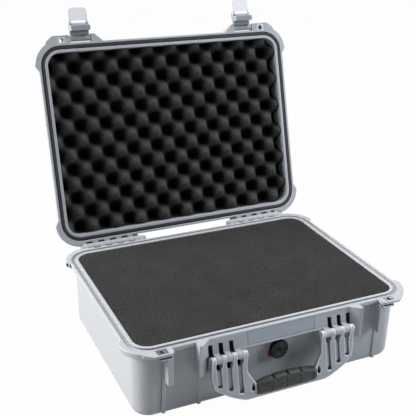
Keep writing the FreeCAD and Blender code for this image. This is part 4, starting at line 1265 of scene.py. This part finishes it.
@dataclass
class CarryHandle:
    """The folding handle: a moulded frame and a soft grip with finger notches.

    Sizes are in millimetres. The grip's shares and powers say how it changes towards its ends.
    """

    cell: float = 0.8
    smoothing_passes: int = 8
    # Where the frame's painted recess shade starts and where it is full, as shares of near walls.
    recess_shade_least: float = 0.16
    recess_shade_most: float = 0.42
    stations: int = 212
    around: int = 64
    squareness: float = 0.6
    notch_pitch: float = 24.5
    notch_width: float = 1.7
    notch_depth: float = 3.2
    panel_depth: float = 0.9
    panel_half_share: float = 0.4
    panel_end_share: float = 0.92
    panel_edge: float = -0.6
    end_drop: float = 0.24
    end_drop_power: float = 2.4
    end_thinning: float = 0.22
    end_thinning_power: float = 4.0
    end_round: float = 4.0
    end_round_share: float = 0.12

    def build(self) -> None:
        """Builds the frame and the grip."""
        frame_mesh = melted("handle_frame", self.cell, self.smoothing_passes)
        frame_mesh = paint_recess_shade(frame_mesh, self.recess_shade_least, self.recess_shade_most)
        add_piece("handle_frame_moulded", frame_mesh, HANDLE, Body.HANDLE.value, "handle_frame")
        low, high = (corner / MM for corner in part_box("handle_grip"))
        length = high.x - low.x
        rings = [
            self.grip_ring(low.x + length * station / self.stations, low, high)
            for station in range(self.stations + 1)
        ]
        grip = shaded(loft("handle_grip_moulded", rings, capped=True), sharp_angle=50.0)
        add_piece("handle_grip_moulded", grip, GRIP, Body.HANDLE.value, "handle_grip")

    def grip_ring(self, x: float, low: Vector, high: Vector) -> list[Vector]:
        """Gives the crowned grip's outline at one place, with notches on top and panels sunk in its face.

        Args:
            x: the place along the grip.
            low: the lowest corner of the grip's box.
            high: its highest corner.

        Returns:
            The outline's points, in metres.
        """
        share = abs(x) / high.x
        top = low.z + (high.z - low.z) * (1 - self.end_drop * share ** self.end_drop_power)
        middle_y, middle_z, half_z = (low.y + high.y) / 2, (low.z + top) / 2, (top - low.z) / 2
        depth = (high.y - low.y) / 2 * (1 - self.end_thinning * share ** self.end_thinning_power)
        past = max(0.0, abs(x) - (high.x - self.end_round)) / self.end_round
        scale = 1 - self.end_round_share * (1 - math.sqrt(max(0.0, 1 - past * past)))
        notch = sum(
            math.exp(-((x - step * self.notch_pitch) / self.notch_width) ** 2) for step in (-1, 0, 1)
        )
        between = abs((x / self.notch_pitch) % 1 - 0.5)
        sunk = between < self.panel_half_share and share < self.panel_end_share
        ring = []
        for place in range(self.around):
            angle = 2 * math.pi * place / self.around
            across, up = math.cos(angle), math.sin(angle)
            # A squarish oval: flat faces and full shoulders.
            y = middle_y + depth * scale * math.copysign(abs(across) ** self.squareness, across)
            z = middle_z + half_z * scale * math.copysign(abs(up) ** self.squareness, up)
            z -= notch * self.notch_depth * max(0.0, up) ** 2
            if sunk and across < self.panel_edge:
                y += self.panel_depth
            ring.append(Vector((x, y, z)) * MM)
        return ring


@dataclass
class VentValve:
    """The pressure valve: a body in the wall, a red sealing ring and a knob with ribs around its rim."""

    knob_rounding_mm: float = 0.85
    ribs: int = 30
    rib_mm: tuple[float, float, float] = (1.2, 5.2, 1.6)

    def build(self) -> None:
        """Builds the body, the ring, the knob and its ribs."""
        NodePiece("valve_body", Body.BASE.value, VALVE).build()
        NodePiece("valve_seal_ring", Body.BASE.value, VALVE_RING).build()
        NodePiece("valve_knob", Body.KNOB.value, VALVE, self.knob_rounding_mm).build()
        low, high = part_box("valve_knob")
        middle = (low + high) / 2
        radius = (high.x - low.x) / 2
        angles = [2 * math.pi * index / self.ribs for index in range(self.ribs)]
        spots = [
            middle + Vector((radius * math.cos(angle), 0.0, radius * math.sin(angle))) for angle in angles
        ]
        turns = [-angle for angle in angles]
        mesh = RibRing("knob_ribs", self.rib_mm).mesh(spots, turns, VALVE)
        add_piece("valve_knob_ribs", mesh, VALVE, Body.KNOB.value)


@dataclass(frozen=True)
class SoftBox:
    """A square studio lamp. Sizes are in metres and watts."""

    name: str
    place: tuple[float, float, float]
    size: float
    power: float
    tint: str = "#ffffff"

    def build(self, aim: Vector) -> None:
        """Hangs the lamp and turns it to the case.

        Args:
            aim: the point that it faces.
        """
        lamp = bpy.data.lights.new(self.name, "AREA")
        lamp.shape = "SQUARE"
        lamp.size = self.size
        lamp.energy = self.power
        lamp.color = linear(self.tint)[:3]
        held = bpy.data.objects.new(self.name, lamp)
        held.location = self.place
        held.rotation_euler = (aim - Vector(self.place)).to_track_quat("-Z", "Y").to_euler()
        bpy.context.scene.collection.objects.link(held)


@dataclass
class Studio:
    """The white floor and surroundings, the soft boxes and the camera. Sizes are in metres."""

    camera_place: tuple[float, float, float] = (-0.54983, -1.08126, 0.76325)
    camera_aim: tuple[float, float, float] = (-0.04425, 0.0, 0.25418)
    camera_roll_deg: float = 1.12
    lens_mm: float = 67.8
    sensor_mm: float = 36.0
    lamp_aim: tuple[float, float, float] = (0.0, 0.0, 0.2)
    lamps: tuple[SoftBox, ...] = (
        SoftBox("key_left", (-2.2, 0.7, 1.2), 1.2, 102.0),
        SoftBox("fill_right", (1.0, -0.7, 0.55), 0.4, 9.5, "#e6effd"),
        SoftBox("top", (-0.5, 0.5, 2.4), 1.0, 17.0),
        SoftBox("rake", (0.95, 0.05, 2.0), 0.4, 24.0),
    )
    white: str = "#ffffff"
    floor_half: float = 12.0
    floor_paint: str = "#b8b8b8"
    floor_white_share: float = 0.98
    ambient: float = 0.16
    ambient_tint: str = "#d4e3f8"

    def build(self) -> None:
        """Builds the floor, the world, the lamps and the camera."""
        bpy.context.scene.view_settings.view_transform = "Standard"
        self.build_floor()
        self.build_world()
        for lamp in self.lamps:
            lamp.build(Vector(self.lamp_aim))
        self.build_camera()

    @staticmethod
    def seen(tree: NodeTree) -> NodeSocket:
        """Tells rays that show the background from rays that light the case.

        Args:
            tree: the floor's or the world's node tree.

        Returns:
            A socket that is 1 for camera, glossy and transmission rays.
        """
        rays = add_node(tree, "ShaderNodeLightPath").outputs
        told = rays["Is Camera Ray"]
        for kind in ("Is Glossy Ray", "Is Transmission Ray"):
            told = add_node(tree, MATH, {0: told, 1: rays[kind]}, operation="MAXIMUM").outputs[0]
        return told

    def build_floor(self) -> None:
        """Lays a white floor that shows only a trace of the case's shadow."""
        half = self.floor_half
        corners = [(-half, -half, 0), (half, -half, 0), (half, half, 0), (-half, half, 0)]
        mesh = bpy.data.meshes.new("studio_floor")
        mesh.from_pydata(corners, [], [(0, 1, 2, 3)])
        paint = bpy.data.materials.new("studio_white")
        paint.use_nodes = True
        tree = paint.node_tree
        tree.nodes.clear()
        matt = add_node(tree, "ShaderNodeBsdfDiffuse", {"Color": linear(self.floor_paint)}).outputs[0]
        glow = add_node(tree, "ShaderNodeEmission", {
            "Color": linear(self.white), "Strength": 1.0,
        }).outputs[0]
        share = add_node(tree, MATH, {
            0: self.seen(tree), 1: self.floor_white_share,
        }, operation="MULTIPLY").outputs[0]
        mixed = add_node(tree, "ShaderNodeMixShader", {0: share, 1: matt, 2: glow}).outputs[0]
        add_node(tree, "ShaderNodeOutputMaterial", {"Surface": mixed})
        mesh.materials.append(paint)
        floor = bpy.data.objects.new("studio_floor", mesh)
        bpy.context.scene.collection.objects.link(floor)

    def build_world(self) -> None:
        """Makes the surroundings white to the eye and a faint, cool light on the case."""
        world = bpy.data.worlds.new("studio_world")
        world.use_nodes = True
        tree = world.node_tree
        tree.nodes.clear()
        soft, white = (
            add_node(tree, "ShaderNodeBackground", {"Color": linear(tint), "Strength": strength}).outputs[0]
            for tint, strength in ((self.ambient_tint, self.ambient), (self.white, 1.0))
        )
        mixed = add_node(tree, "ShaderNodeMixShader", {0: self.seen(tree), 1: soft, 2: white}).outputs[0]
        add_node(tree, "ShaderNodeOutputWorld", {"Surface": mixed})
        bpy.context.scene.world = world

    def build_camera(self) -> None:
        """Sets the camera at the view of the case from its front left."""
        lens = bpy.data.cameras.new("camera")
        lens.sensor_width = self.sensor_mm
        lens.lens = self.lens_mm
        camera = bpy.data.objects.new("camera", lens)
        place = Vector(self.camera_place)
        ahead = (Vector(self.camera_aim) - place).normalized()
        right = ahead.cross(Vector((0.0, 0.0, 1.0))).normalized()
        up = right.cross(ahead)
        roll = math.radians(self.camera_roll_deg)
        across = math.cos(roll) * right + math.sin(roll) * up
        upright = math.cos(roll) * up - math.sin(roll) * right
        turn = Matrix((across, upright, -ahead)).transposed().to_4x4()
        camera.matrix_world = Matrix.Translation(place) @ turn
        bpy.context.scene.collection.objects.link(camera)
        bpy.context.scene.camera = camera


def main() -> None:
    """Builds the case and its studio."""
    logging.basicConfig(level=logging.INFO, format="%(name)s: %(message)s")
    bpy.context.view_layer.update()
    builders: list[Callable[[], None]] = [
        Studio().build, CaseBase().build, CaseLid().build, CarryHandle().build, VentValve().build,
    ]
    builders += [ThrowLatch(side).build for side in Side]
    for build in builders:
        build()


if __name__ == "__main__":
    main()
